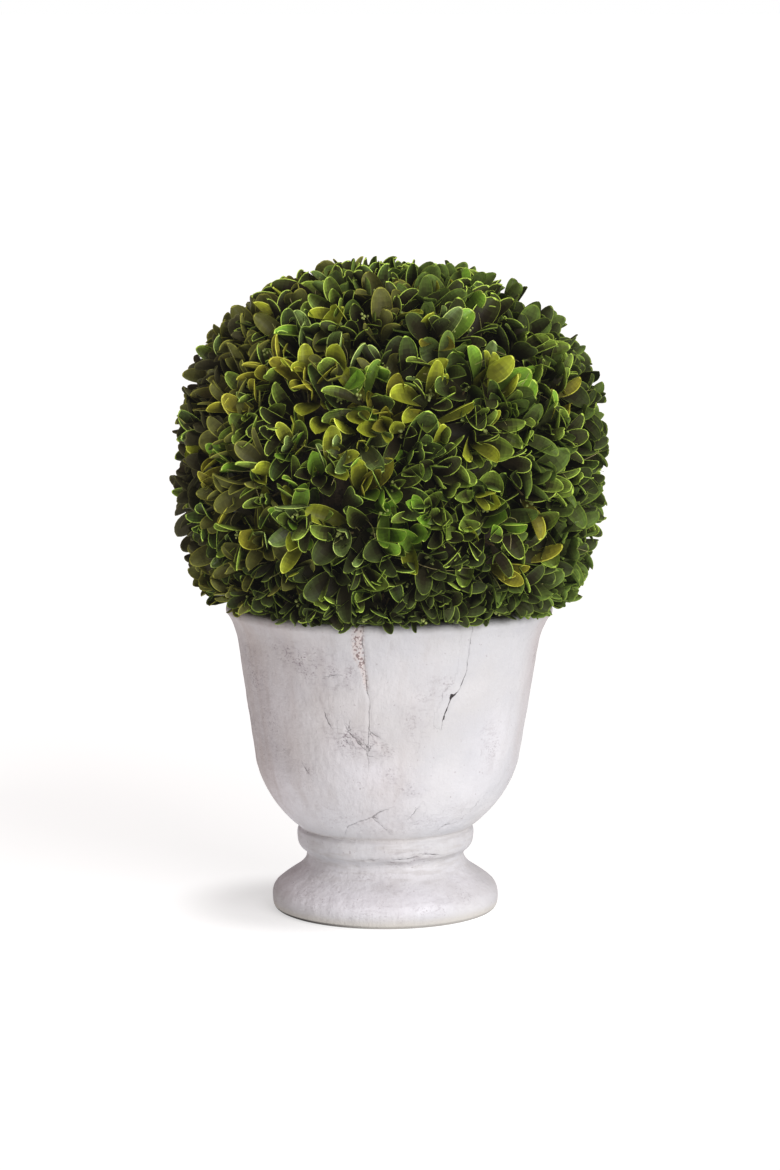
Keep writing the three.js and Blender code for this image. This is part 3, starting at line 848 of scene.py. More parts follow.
limewash, tree, output = new_material("whitewashed_terracotta")
masks = pattern_masks(tree, WASH_PATTERNS)
for name in wear_and_painted_light:
    masks[name] = add_node(tree, "ShaderNodeAttribute", attribute_name=name).outputs["Fac"]
ragged = {"Value": masks["ragged"], "To Min": -CRACK_RAGGEDNESS / 2, "To Max": CRACK_RAGGEDNESS / 2}
wobble = add_node(tree, "ShaderNodeMapRange", ragged).outputs[0]
crossed = {0: masks["crack_across"], 1: wobble}
shifted = add_node(tree, "ShaderNodeMath", crossed, operation="ADD").outputs[0]
off_centre = add_node(tree, "ShaderNodeMath", {0: shifted}, operation="ABSOLUTE").outputs[0]
unbroken = {0: masks["crack_half"], 1: masks["broken"]}
opened = add_node(tree, "ShaderNodeMath", unbroken, operation="MULTIPLY").outputs[0]
inside = add_node(tree, "ShaderNodeMath", {0: opened, 1: off_centre}, operation="SUBTRACT").outputs[0]
soft_edge = {"Value": inside, "From Min": -CRACK_SOFTNESS / 4, "From Max": CRACK_SOFTNESS}
masks["crack"] = add_node(tree, "ShaderNodeMapRange", soft_edge).outputs["Result"]
wash_relief = [("grain", 0.12), ("brushing", 0.3), ("trowelling", 0.5), ("crack", -0.5)]
surface(tree, output, painted(tree, LIMEWASH, masks, WASH_LAYERS), masks, wash_relief, Roughness=0.92)
pot.data.materials.append(limewash)
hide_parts("pot")
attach(pot, "root")
print("nodes in the limewash:", len(tree.nodes))

# %% [markdown]
# ## The potting soil
#
# Fine dark peat with small crumbs. It hardly shows under the leaves, but anyone who lifts the ball's
# skirt or looks in at the rim should find soil there. A disc of rings with layered noise is enough.

# %% Soil with crumbs
SOIL_EDGE_Z, SOIL_CROWN, SOIL_GAP, SOIL_DEPTH = 148.0, 2.0, 0.35, 12.0
SOIL_RINGS, SOIL_COLUMNS = 46, 220
CRUMBS = [(0.9, 3.1, 11), (0.5, 1.7, 12)]

up_the_wall = (SOIL_EDGE_Z - BOWL_SHOULDER_Z) / (LIP_START_Z - BOWL_SHOULDER_Z)
soil_radius = inside_low + (LIP_START - BOWL_SHOULDER) * up_the_wall - SOIL_GAP
ring_radius = np.concatenate([np.linspace(1.5, soil_radius, SOIL_RINGS), [soil_radius - 2, 1.5]])
ring_height = SOIL_EDGE_Z + SOIL_CROWN * (1 - (ring_radius / soil_radius) ** 2)
ring_height[-2:] = SOIL_EDGE_Z - SOIL_DEPTH
ring_angle = np.tile(full_turn(SOIL_COLUMNS), len(ring_radius))
soil_out, soil_up = np.repeat(np.stack([ring_radius, ring_height], 1), SOIL_COLUMNS, axis=0).T
soil_x = soil_out * np.sin(ring_angle) + lean_at(soil_up)
soil_points = np.stack([soil_x, -soil_out * np.cos(ring_angle), soil_up], 1)
top_side = (soil_up > SOIL_EDGE_Z - 1) * smooth_step(soil_radius - soil_out, 0, 4)
soil_points[:, 2] += (layered_noise(soil_points, CRUMBS) - CRUMBS[0][0]) * top_side

# Peat is dug, dried and sieved: dark, dull fibre with paler bits of bark.
peat = finish(
    "peat_potting_soil",
    "#2b2019",
    {"bark_bits": (2.5, 0.5, 0.62, 3.0, EVEN), "fibre": (1.2, 0.3, 0.7, 4.0, EVEN)},
    [("#5a4632", 0.7, ["bark_bits"])],
    [("fibre", 0.5)],
    Roughness=0.95,
)
soil_quads = ring_quads(len(ring_radius), SOIL_COLUMNS)
soil_caps = end_caps(len(ring_radius), SOIL_COLUMNS)
soil = new_piece("peat_soil", soil_points, soil_quads, [peat], caps=soil_caps)
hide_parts("potting_soil")
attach(soil, "root")

# %% [markdown]
# ## The stem
#
# Old box has pale grey-brown bark that splits into small corky plates. The trunk is short and hidden,
# with a flared foot. Its bark is real relief: noise stretched along the stem, cut at a threshold so
# that plates stand up and fissures lie between them.

# %% The trunk with bark relief
TRUNK_FOOT_Z, TRUNK_HEIGHT, TRUNK_RADIUS, TRUNK_FLARE, TRUNK_TIP = 150.3, 56.0, 6.5, 12.0, 5.0
TRUNK_LEAN, TRUNK_ROWS, TRUNK_COLUMNS = 0.03, 90, 72
BARK_DEPTH, PLATE_HEIGHT, CORK_GRAIN = 0.9, 0.6, 0.15
BUTTRESSES, BUTTRESS_DEPTH, PLATE_STRETCH, BARK_SPAN = 5, 0.9, 3.5, 6

share = np.repeat(np.linspace(0, 1, TRUNK_ROWS), TRUNK_COLUMNS)
around = np.tile(full_turn(TRUNK_COLUMNS), TRUNK_ROWS)
bark_radius = TRUNK_RADIUS + (TRUNK_TIP - TRUNK_RADIUS) * share
bark_radius += (TRUNK_FLARE - TRUNK_RADIUS) * (1 - share) ** 6
up_the_bark = share * TRUNK_HEIGHT / PLATE_STRETCH
upright = np.stack([np.cos(around) * BARK_SPAN, np.sin(around) * BARK_SPAN, up_the_bark], 1)
plates = smooth_step(smooth_noise(upright, 2.2, 21), -0.2, 0.3)
bark_radius += PLATE_HEIGHT * plates + CORK_GRAIN * smooth_noise(upright, 0.8, 22) - BARK_DEPTH
bark_radius += BUTTRESS_DEPTH * (1 - share) ** 4 * np.cos(around * BUTTRESSES)
trunk_up = TRUNK_FOOT_Z + share * TRUNK_HEIGHT
trunk_x = lean_at(TRUNK_FOOT_Z) + TRUNK_LEAN * share * TRUNK_HEIGHT
trunk_points = np.stack([trunk_x + bark_radius * np.cos(around), bark_radius * np.sin(around), trunk_up], 1)

# Old box bark is dry cork: grey-brown plates over darker fissures, with no shine at all.
bark = finish(
    "box_bark",
    "#4a3a2b",
    {"plates": (2.2, 0.4, 0.6, 5.0, (1.0, 1.0, 0.4)), "grey_crust": (7, 0.5, 0.65, 3.0, EVEN)},
    [("#85735c", 0.8, ["plates"]), ("#8f8b7c", 0.5, ["grey_crust"])],
    [("plates", 0.4)],
    Roughness=0.88,
)
trunk_quads = ring_quads(TRUNK_ROWS, TRUNK_COLUMNS)
trunk = new_piece("bark_trunk", trunk_points, trunk_quads, [bark], caps=end_caps(TRUNK_ROWS, TRUNK_COLUMNS))
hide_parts("trunk")
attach(trunk, "root")

# %% [markdown]
# ## The ball's outline
#
# Shears leave a slightly squared ball. One formula, a superellipse, says how far the ball reaches in
# any direction, and everything that grows below asks it how far it may go. The same rule made the
# measured model, so the leaves here end where that model ends. The golden angle spreads directions
# evenly over it, as it spreads the seeds in a sunflower.

# %% How far the ball reaches, and even directions over it
BALL_CENTRE_Z, BALL_RADIUS, BALL_HALF_HEIGHT, BALL_SQUARENESS = 253.6, 123.5, 118.0, 2.4
TIP_SPREAD = 3.5
BALL_CENTRE = np.array([lean_at(BALL_CENTRE_Z), 0, BALL_CENTRE_Z])
GOLDEN_ANGLE = math.pi * (3 - math.sqrt(5))
RIM_SLOPE = math.atan2(RIM_Z - BALL_CENTRE_Z, LIP_RADIUS)


def unit(vectors):
    """Each vector at a length of 1."""
    return vectors / np.linalg.norm(vectors, axis=-1, keepdims=True)


def ball_reach(directions):
    """How far the clipped outline lies from the ball's centre, in mm."""
    across = np.hypot(directions[..., 0], directions[..., 1]) / BALL_RADIUS
    up = np.abs(directions[..., 2]) / BALL_HALF_HEIGHT
    return (across**BALL_SQUARENESS + up**BALL_SQUARENESS) ** (-1 / BALL_SQUARENESS)


def in_ball(directions, depth):
    """The points on directions from the ball's centre that lie a depth inside its outline."""
    return BALL_CENTRE + directions * (ball_reach(directions) - depth)[..., None]


def even_directions(count, lowest):
    """Directions spread evenly from straight up down to the lowest, which is a sine."""
    index = np.arange(count)
    height = 1 - (index + 0.5) / count * (1 - lowest)
    across = np.sqrt(1 - height**2)
    turn = index * GOLDEN_ANGLE
    return np.stack([across * np.cos(turn), across * np.sin(turn), height], 1)


print("reach to the side and up:", ball_reach(np.array([[1.0, 0, 0], [0, 0, 1.0]])))

# %% [markdown]
# ## Boughs, twigs and shoots
#
# Growth is a tree: a few boughs leave the trunk, each main twig leaves the nearest bough, and each
# leafy shoot leaves the nearest main twig. Asking for the nearest parent keeps the branches short and
# natural, and a little seeded jitter breaks the even spacing of the directions.
#
# There are four kinds of shoot. The main ones stand about 24 mm apart, as the rosettes in the
# photograph do. Smaller ones fill the gaps between them, a little deeper. A skirt and an apron of them
# hang out over the pot's rim and hide its mouth.

# %% How many of each, and how deep they end
plant_random = np.random.default_rng(4271)
BOUGHS, BOUGH_DEPTH, BOUGH_JITTER, LOWEST_BOUGH = 14, 64.0, 0.08, -0.35
MAIN_TWIGS, FORK_DEPTH, FORK_JITTER = 130, 38.0, 0.05
LOWEST = math.sin(RIM_SLOPE + 0.03)
# Each kind has a count, its tip's depth under the outline, how that varies, its jitter and its tilt.
SHOOT_KINDS = {
    "main": (305, 14.5, 2.4, 0.045, 0.34),
    "filling": (240, 18.0, 3.2, 0.08, 0.42),
    "skirt": (60, 13.0, 2.5, 0.04, 0.36),
    "apron": (72, 11.0, 2.0, 0.03, 0.5),
}
RING_SLOPES = {"skirt": RIM_SLOPE + 0.085, "apron": RIM_SLOPE + 0.04}
print({kind: numbers[0] for kind, numbers in SHOOT_KINDS.items()})


# %% Grow the branches
def nearest(points, parents):
    """For each point the number of the parent that is nearest to it."""
    return np.argmin(np.linalg.norm(points[:, None] - parents[None], axis=2), axis=1)


def jittered(directions, amount):
    """The directions, each knocked a little aside."""
    return unit(directions + plant_random.normal(0, amount, directions.shape))


def ring_directions(count, slope):
    """Directions in a level ring, at a slope in radians."""
    turn = full_turn(count)
    flat = math.cos(slope)
    return np.stack([np.cos(turn) * flat, np.sin(turn) * flat, np.full(count, math.sin(slope))], 1)


trunk_top = np.array([trunk_x[-1], 0, TRUNK_FOOT_Z + TRUNK_HEIGHT - 4])
bough_ends = in_ball(jittered(even_directions(BOUGHS, LOWEST_BOUGH), BOUGH_JITTER), BOUGH_DEPTH)
fork_ends = in_ball(jittered(even_directions(MAIN_TWIGS, LOWEST), FORK_JITTER), FORK_DEPTH)
fork_parent = nearest(fork_ends, bough_ends)

directions, depths, tilts, kinds = [], [], [], []
for kind, (count, depth, spread, jitter, tilt) in SHOOT_KINDS.items():
    ringed = kind in RING_SLOPES
    even = ring_directions(count, RING_SLOPES[kind]) if ringed else even_directions(count, LOWEST)
    directions.append(jittered(even, jitter))
    depths.append(depth + plant_random.normal(0, spread, count))
    tilts.append(plant_random.normal(0, tilt, (count, 3)))
    kinds += [kind] * count
shoot_directions = np.concatenate(directions)
shoot_ends = in_ball(shoot_directions, 0) - shoot_directions * np.concatenate(depths)[:, None]
shoot_starts = fork_ends[nearest(shoot_ends, fork_ends)]
shoot_along = unit(shoot_directions + np.concatenate(tilts))
SHOOTS = len(kinds)
print(BOUGHS, "boughs,", MAIN_TWIGS, "main twigs,", SHOOTS, "shoots")


# %% Turn the branches into tubes
def frames_along(directions, turns):
    """Two axes square to each direction, turned about it."""
    steep = np.abs(directions[:, 2:]) > 0.9
    helper = np.where(steep, [[1.0, 0, 0]], [[0, 0, 1.0]])
    side = unit(np.cross(helper, directions))
    front = np.cross(directions, side)
    turned_side = side * np.cos(turns)[:, None] + front * np.sin(turns)[:, None]
    return turned_side, np.cross(directions, turned_side)


TUBE_SIDES, TUBE_ROWS = 5, 5


def tubes(starts, ends, start_radius, end_radius, sag):
    """Tapering tubes with a slight bow, one from each start to each end."""
    along = unit(ends - starts)
    side, front = frames_along(along, plant_random.uniform(0, 2 * math.pi, len(starts)))
    share = np.linspace(0, 1, TUBE_ROWS)[None, :, None, None]
    centre = starts[:, None, None] * (1 - share) + ends[:, None, None] * share
    centre = centre + side[:, None, None] * sag * np.sin(math.pi * share)
    turn = full_turn(TUBE_SIDES)[None, None, :, None]
    radius = start_radius * (1 - share) + end_radius * share
    points = centre + radius * (side[:, None, None] * np.cos(turn) + front[:, None, None] * np.sin(turn))
    quads = repeated(ring_quads(TUBE_ROWS, TUBE_SIDES), len(starts), TUBE_ROWS * TUBE_SIDES)
    return points.reshape(-1, 3), quads


print("one tube has", (TUBE_ROWS - 1) * TUBE_SIDES, "faces")


# %% Join parts to one piece, and put it in place of the frame's ball
def joined(parts):
    """Several sets of points and faces as one."""
    points, quads, shift = [], [], 0
    for part_points, part_quads in parts:
        points.append(part_points)
        quads.append(part_quads + shift)
        shift += len(part_points)
    return np.concatenate(points), np.concatenate(quads)


def plant_piece(name, points, quads, materials, slot, face_material=None):
    """A piece of the ball: it stands for the one clipped mass of the frame."""
    piece = new_piece(name, points, quads, materials, face_material=face_material)
    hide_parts("foliage_ball")
    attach(piece, "root")
    return piece


print("tubes to join:", BOUGHS + MAIN_TWIGS + SHOOTS)

# %% The branches
# The radius of each kind at its start and at its end, and its bow, in mm.
BOUGH_TUBE, TWIG_TUBE, SHOOT_TUBE = (3.2, 2.0, 3.0), (1.9, 1.2, 1.5), (1.0, 0.55, 0.8)

# Young box wood is green and turns corky brown with age, so its twigs are olive with brown patches.
twig_bark = finish(
    "green_box_twig",
    "#4b4a22",
    {"corky": (9, 0.4, 0.6, 2.0, EVEN)},
    [("#6b5a38", 0.9, ["corky"])],
    [("corky", 0.2)],
    Roughness=0.7,
)
branch_parts = [
    tubes(np.repeat(trunk_top[None], BOUGHS, 0), bough_ends, *BOUGH_TUBE),
    tubes(bough_ends[fork_parent], fork_ends, *TWIG_TUBE),
    tubes(shoot_starts, shoot_ends, *SHOOT_TUBE),
]
plant_piece("branches_and_twigs", *joined(branch_parts), [twig_bark], "stem_bark")

# %% [markdown]
# ## The thicket inside
#
# Behind the leaves a real clipped ball is a dark tangle of bare twigs and dead leaves. Modelling all of
# it would cost more than the whole outside, and none of it shows. A dark, heavily noised shell stands
# for it, well below the leaf tips. Near the pot's rim, where the leaves are fewer, it comes nearer to
# them, so that no light shows through.

# %% The dark thicket
THICKET_DEPTH, RAISED_NEAR_RIM, THICKET_ROWS, THICKET_COLUMNS = 34.0, 11, 90, 160
TANGLE = [(3.0, 9, 31), (1.6, 4, 32)]

polar = np.repeat(np.linspace(0.02, math.pi - 0.02, THICKET_ROWS), THICKET_COLUMNS)
azimuth = np.tile(full_turn(THICKET_COLUMNS), THICKET_ROWS)
outwards = np.stack([np.sin(polar) * np.cos(azimuth), np.sin(polar) * np.sin(azimuth), np.cos(polar)], 1)
thicket_points = in_ball(outwards, THICKET_DEPTH - RAISED_NEAR_RIM * smooth_step(-outwards[:, 2], 0.3, 0.6))
thicket_points += outwards * layered_noise(thicket_points, TANGLE)[:, None]
thicket_quads = ring_quads(THICKET_ROWS, THICKET_COLUMNS)[:, ::-1]

# Litter caught in a hedge dries to grey-brown flakes, which are quite dull.
litter = finish(
    "dead_leaves_and_twigs",
    "#3d352a",
    {"dry_leaves": (5, 0.4, 0.6, 3.0, EVEN)},
    [("#5a4d3a", 0.9, ["dry_leaves"])],
    [("dry_leaves", 1.0)],
    Roughness=0.95,
)
plant_piece("inner_thicket", thicket_points, thicket_quads, [litter], "stem_bark")

# %% [markdown]
# ## The leaves
#
# A box leaf is a small thick spoon: narrow at its foot, widest past the middle, with a blunt tip, a
# cupped face and a thin pale rim where the leathery blade ends. Leaves sit in opposite pairs, each
# pair turned a quarter from the last, so a shoot seen from its tip is a little cup of leaves.
#
# One leaf is a grid of rows along the blade and columns across it. The outermost column on each side
# is half a millimetre wide. Except near the leaf's foot it has the rim's colour, so the rim is geometry
# and stays crisp. The rim's colour is the blade's paler edge with a painted highlight from the middle
# of the leaf to its tip, and a painted shade in its lower part.
#
# A leaf shades itself: its tip stands in the light and its foot in the dark of the cup. So the blade's
# colour darkens down its length in ten steps of painted shade, sooner along the midrib than at the sides.

# %% The points of a leaf
LEAF_ROWS = np.array([0.0, 0.16, 0.3, 0.42, 0.53, 0.63, 0.73, 0.82, 0.9, 0.965, 0.996])
LEAF_COLUMNS = 9
RIM_WIDTH, LEAST_HALF = 0.52, 0.56
WIDEST, TIP_BLUNTNESS = 0.92, 0.55
FOOT_CUP, MIDRIB_DIP = 0.35, 0.3


def outline_share(t):
    """The half-width of the blade at a share of its length, 1 where it is widest."""
    peak = WIDEST / (WIDEST + TIP_BLUNTNESS)
    return t**WIDEST * (1 - t) ** TIP_BLUNTNESS / (peak**WIDEST * (1 - peak) ** TIP_BLUNTNESS)


def leaf_points(roots, outward, facing, length, width, cup, bend):
    """The grids of many leaves: each lies along outward and is hollow on the side it faces."""
    across = np.cross(facing, outward)
    t = LEAF_ROWS[None, :, None]
    half = np.maximum(outline_share(t) * width[:, None, None] / 2, LEAST_HALF)
    inner = np.clip(1 - RIM_WIDTH / half, 0.1, 0.95)
    on_blade = [inner * step for step in np.linspace(-1, 1, LEAF_COLUMNS - 2)]
    s = np.concatenate([-np.ones_like(inner), *on_blade, np.ones_like(inner)], axis=2)
    arc = cup[:, None, None] * (FOOT_CUP + (1 - FOOT_CUP) * smooth_step(t, 0.0, 0.5)) + 0.02
    y = half * np.sin(arc * s) / arc
    z = half * (1 - np.cos(arc * s)) / arc
    curl = bend[:, None, None] * t
    x = length[:, None, None] * t * np.sinc(curl / math.pi)
    lift = length[:, None, None] * t * curl * 0.5
    x = x - z * np.sin(curl)
    z = z * np.cos(curl) + lift - MIDRIB_DIP * (np.abs(s) < 0.01) * smooth_step(t, 0, 0.2)
    parts = (x, outward), (y, across), (z, facing)
    return roots[:, None, None] + sum(value[..., None] * axis[:, None, None] for value, axis in parts)


print("a blade is widest at", round(WIDEST / (WIDEST + TIP_BLUNTNESS), 2), "of its length")

# %% The faces of a leaf, each with its shade
# Painted shade: how many steps the blade has, and how soon it darkens down the blade and towards the
# midrib.
SHADES = 10
DARKER_DOWN, DARKER_INWARDS = 0.88, 0.6
DARK_FROM, DARKEST_FROM = 0.04, 0.68
# The rim's painted highlight and painted shade, and from where along the leaf each shows.
LIT_RIM, SHADED_RIM = SHADES, SHADES + 1
RIM_STARTS, RIM_LIT_FROM = 0.29, 0.52


def leaf_faces(count):
    """The faces of many leaf grids, and for each its step of painted shade, or which rim colour it has."""
    rows, columns = len(LEAF_ROWS), LEAF_COLUMNS
    row, column = np.meshgrid(np.arange(rows - 1), np.arange(columns - 1), indexing="ij")
    first = row * columns + column
    quads = np.stack([first, first + 1, first + columns + 1, first + columns], -1).reshape(-1, 4)
    below_tip = 1 - (LEAF_ROWS[row] + LEAF_ROWS[row + 1]) / 2
    from_rim = 1 - np.abs(2 * column - columns + 2) / (columns - 2)
    darkness = DARKER_DOWN * smooth_step(below_tip, DARK_FROM, DARKEST_FROM) + DARKER_INWARDS * from_rim
    part = np.rint(darkness.clip(0, 1) * (SHADES - 1)).astype(int)
    edge = (column == 0) | (column == columns - 2) | (row == rows - 2)
    rim = np.where(LEAF_ROWS[row] > RIM_LIT_FROM, LIT_RIM, SHADED_RIM)
    part = np.where(edge & (LEAF_ROWS[row] > RIM_STARTS), rim, part).ravel()
    return repeated(quads, count, rows * columns), np.tile(part, count)


print("faces in one leaf:", len(leaf_faces(1)[0]))

# %% [markdown]
# ### Where leaves grow
#
# The upper pairs of a shoot are young, short and nearly upright. The lower ones are full-grown, start
# further down and lean out, so the tips of all of them end at one height, as in a cup. A leaf that
# would leave the clipped outline slides back down its own line, and one that still leaves it, or would
# touch the pot, is dropped.

# %% The pairs of leaves on each kind of shoot
# Each pair has its drop below the tip in mm, its opening in degrees, its length and width shares, and
# the share of shoots that have it.
PAIRS = {
    "main": [
        (0.5, 9, 0.5, 0.5, 0.14),
        (1.5, 19, 0.8, 0.86, 0.42),
        (5.0, 29, 1.0, 1.04, 1),
        (9.5, 40, 1.06, 1.06, 1),
        (15.0, 53, 1.04, 1.02, 1),
    ],
    "filling": [(0.5, 15, 0.74, 0.74, 0.5), (4.0, 31, 0.98, 1.0, 1), (9.5, 49, 1.02, 1.0, 1)],
    "skirt": [(0.5, 14, 0.7, 0.66, 0.8), (4.0, 30, 0.86, 0.86, 1), (9.0, 50, 0.9, 0.92, 1)],
    "apron": [(0.5, 16, 0.5, 0.5, 1), (3.0, 34, 0.64, 0.62, 1), (7.0, 54, 0.7, 0.66, 1)],
}
places = []
for shoot, kind in enumerate(kinds):
    for pair, (*values, share) in enumerate(PAIRS[kind]):
        if plant_random.uniform() < share:
            places += [(shoot, pair, leaf_side, *values) for leaf_side in (0, 1)]
print(len(places), "leaves to place")

# %% Turn, open, roll and size every leaf
LEAF_LENGTH, LEAF_WIDTH = 26.0, 12.2
SIZE_RANGE, WIDTH_RANGE = (0.78, 1.2), (0.7, 1.2)
SPIN_JITTER, OPENING_JITTER, ROLL_JITTER, SIZE_JITTER = 0.2, 0.15, 0.28, 0.06
CUP_RANGE, MEAN_BEND, BEND_JITTER = (0.45, 1.4), -0.15, 0.28
SIDE_STEP, OFF_AXIS = 0.4, 0.5

shoot_index, pair_index, side_index = np.array([place[:3] for place in places]).T
drop, opening, length_share, width_share = np.array([place[3:] for place in places]).T
count = len(places)

shoot_turn = plant_random.uniform(0, 2 * math.pi, SHOOTS)
shoot_size = plant_random.normal(1.0, 0.1, SHOOTS).clip(*SIZE_RANGE)
shoot_spread = plant_random.normal(1.0, 0.18, SHOOTS)
spin = shoot_turn[shoot_index] + pair_index * math.pi / 2 + side_index * math.pi
spin += plant_random.normal(0, SPIN_JITTER, count)
opening = np.radians(opening) * shoot_spread[shoot_index] * plant_random.normal(1.0, OPENING_JITTER, count)
along = shoot_along[shoot_index]
side, _ = frames_along(along, spin)
outward = along * np.cos(opening)[:, None] + side * np.sin(opening)[:, None]
facing = along * np.sin(opening)[:, None] - side * np.cos(opening)[:, None]
roll = plant_random.normal(0, ROLL_JITTER, count)
across = np.cross(facing, outward)
facing = facing * np.cos(roll)[:, None] + across * np.sin(roll)[:, None]
size = shoot_size[shoot_index] * plant_random.normal(1.0, SIZE_JITTER, count)
length = LEAF_LENGTH * size * length_share
width = LEAF_WIDTH * size * width_share * plant_random.normal(0.95, 0.13, count).clip(*WIDTH_RANGE)
cup = plant_random.uniform(*CUP_RANGE, count)
bend = plant_random.normal(MEAN_BEND, BEND_JITTER, count)
roots = shoot_ends[shoot_index] - along * (drop + side_index * SIDE_STEP)[:, None] + side * OFF_AXIS
grids = leaf_points(roots, outward, facing, length, width, cup, bend)
print("mean leaf:", length.mean().round(1), "by", width.mean().round(1), "mm")


# %% Tests of each leaf against the ball's outline, the pot and the frame's box
frame_low, frame_high = np.array(cad_low) / MM, np.array(cad_high) / MM


def past_outline(points):
    """How far each leaf's furthest point lies past the clipped outline."""
    offset = points - BALL_CENTRE
    distance = np.linalg.norm(offset, axis=-1)
    return (distance - ball_reach(offset / distance[..., None])).max(axis=(1, 2))


def pot_radius_at(height):
    """The pot's outer radius at a height."""
    rising = profile[: np.argmax(profile[:, 1] > RIM_Z - 0.01) + 1]
    return np.interp(height, rising[:, 1], rising[:, 0])


def touches_pot(points, clear):
    """Whether each leaf comes nearer to the pot's lip than it may."""
    out = np.hypot(points[..., 0] - lean_at(points[..., 2]), points[..., 1])
    low = points[..., 2] < RIM_Z + clear
    in_wall = (out < pot_radius_at(points[..., 2]) + clear) & (out > MOUTH_RADIUS - clear)
    return (low & in_wall).any(axis=(1, 2))


def past_frame(points):
    """How far each leaf's furthest point lies outside the box of the measured model."""
    return np.maximum(frame_low - points, points - frame_high).max(axis=(1, 2, 3))


print("leaves past the outline so far:", int((past_outline(grids) > 0).sum()))

# %% Slide leaves in, and drop those that still stand out or touch the pot
LOWEST_TIP, LOWEST_TIP_SPREAD = RIM_Z - 2.2, 2.2
POT_GAP, FRAME_GAP, FURTHEST_SLIDE = 0.5, 0.2, 9
# How far tips stand out past the clipped outline, in mm: a mean and a spread, then the limits.
SHOOTS_STAND_OUT, LEAVES_STAND_OUT = (1.4, 3.6), (0.5, 1.0)
SHOOT_LIMITS, DEEPEST_TIP = (-9, 3.3), -8

shoot_stands_out = plant_random.normal(*SHOOTS_STAND_OUT, SHOOTS).clip(*SHOOT_LIMITS)
leaf_stands_out = shoot_stands_out[shoot_index] + plant_random.normal(*LEAVES_STAND_OUT, count)
allowed = leaf_stands_out.clip(DEEPEST_TIP, TIP_SPREAD - 0.1)
too_far = np.maximum(past_outline(grids) - allowed, past_frame(grids) + FRAME_GAP).clip(0, FURTHEST_SLIDE)
grids -= (outward * too_far[:, None])[:, None, None]
lowest_tip = LOWEST_TIP + plant_random.normal(0, LOWEST_TIP_SPREAD, count)
hangs_low = (grids[..., 2].min(axis=(1, 2)) < lowest_tip) & (shoot_directions[shoot_index, 2] < 0)
kept = (past_outline(grids) < TIP_SPREAD) & (past_frame(grids) < 0)
kept &= ~touches_pot(grids, POT_GAP) & ~hangs_low
print(count, "leaves tried,", int(kept.sum()), "kept")

# %% [markdown]
# ### Leaf colours
#
# The colours of a ball come by shoot: old shoots are dark olive, healthy ones deep green, and young or
# sun-touched ones bright or yellow-green. So each shoot is dealt one tint, each tint is a plain colour,
# and the leaves of one tint are one piece. A tint has ten shades of the blade, each the tip's colour
# with a share of a dark brown painted shade mixed in, and two of the rim: the blade's paler edge with a
# painted highlight, and a painted shade.

# %% The tints: tip, rim with its painted highlight, how much painted shade darkens the blade, roughness, and how strongly it shines
TINTS = {
    "dark_olive": ("#566430", "#ceec64", 1.0, 0.42, 0.06),
    "deep_green": ("#69883b", "#cff26a", 0.95, 0.4, 0.07),
    "mid_green": ("#98ba44", "#ccea64", 0.94, 0.4, 0.1),
    # The shining tint's pale, bluish tip is a painted sheen, as well as its real gloss.
    "shining_green": ("#8fb05c", "#d9f285", 0.8, 0.24, 0.4),
    "fresh_green": ("#9ad340", "#def86e", 0.55, 0.34, 0.25),
    "yellow_green": ("#c8d73a", "#f0fa66", 0.6, 0.38, 0.14),
    "golden_olive": ("#a9a733", "#dcdc52", 0.58, 0.4, 0.1),
    # The last four tints are painted shade: darker blades and dim rims for the ball's sides, top, bottom
    # and edge.
    "shaded_green": ("#73913f", "#879f42", 0.7, 0.4, 0.07),
    "shaded_olive": ("#7d8140", "#a4a647", 0.5, 0.42, 0.1),
    "deep_shade_green": ("#4e5f30", "#7d913e", 0.9, 0.42, 0.06),
    "deep_shade_olive": ("#555438", "#6c6c42", 0.5, 0.45, 0.1),
}
# How far the deepest blade step and the lower rim go towards the dark brown of the cup's painted shade.
DEEPEST_SHADE, RIM_BELOW_SHADE = 0.92, 0.45
CUP_SHADE = "#211a13"


def mixed(hex_from, hex_to, share):
    """A hex colour part of the way from one to another."""
    channels = [[int(colour[i : i + 2], 16) for i in (1, 3, 5)] for colour in (hex_from, hex_to)]
    return "#" + "".join(f"{round(a + (b - a) * share):02x}" for a, b in zip(*channels))


def leaf_material(name, colour, roughness, shine):
    """Waxy leather: a mottle of a few millimetres, a slightly uneven skin and a satin sheen."""
    return finish(
        name,
        colour,
        {"mottle": (4.0, 0.48, 0.66, 3.0, EVEN), "skin": (2.4, 0.25, 0.75, 3.0, EVEN)},
        [("#1f2112", 0.28, ["mottle"])],
        [("skin", 0.16)],
        Roughness=roughness,
        Specular_IOR_Level=shine,
    )


print("halfway down a deep green leaf:", mixed(TINTS["deep_green"][0], CUP_SHADE, DEEPEST_SHADE / 2))

# %% [markdown]
# Some sprays catch the eye in the photograph, and some patches are darker, fresher or more golden than
# their surroundings. Both are dealt by their place on the ball. The sprays come again on the far side,
# so that the back is as lively as the front.

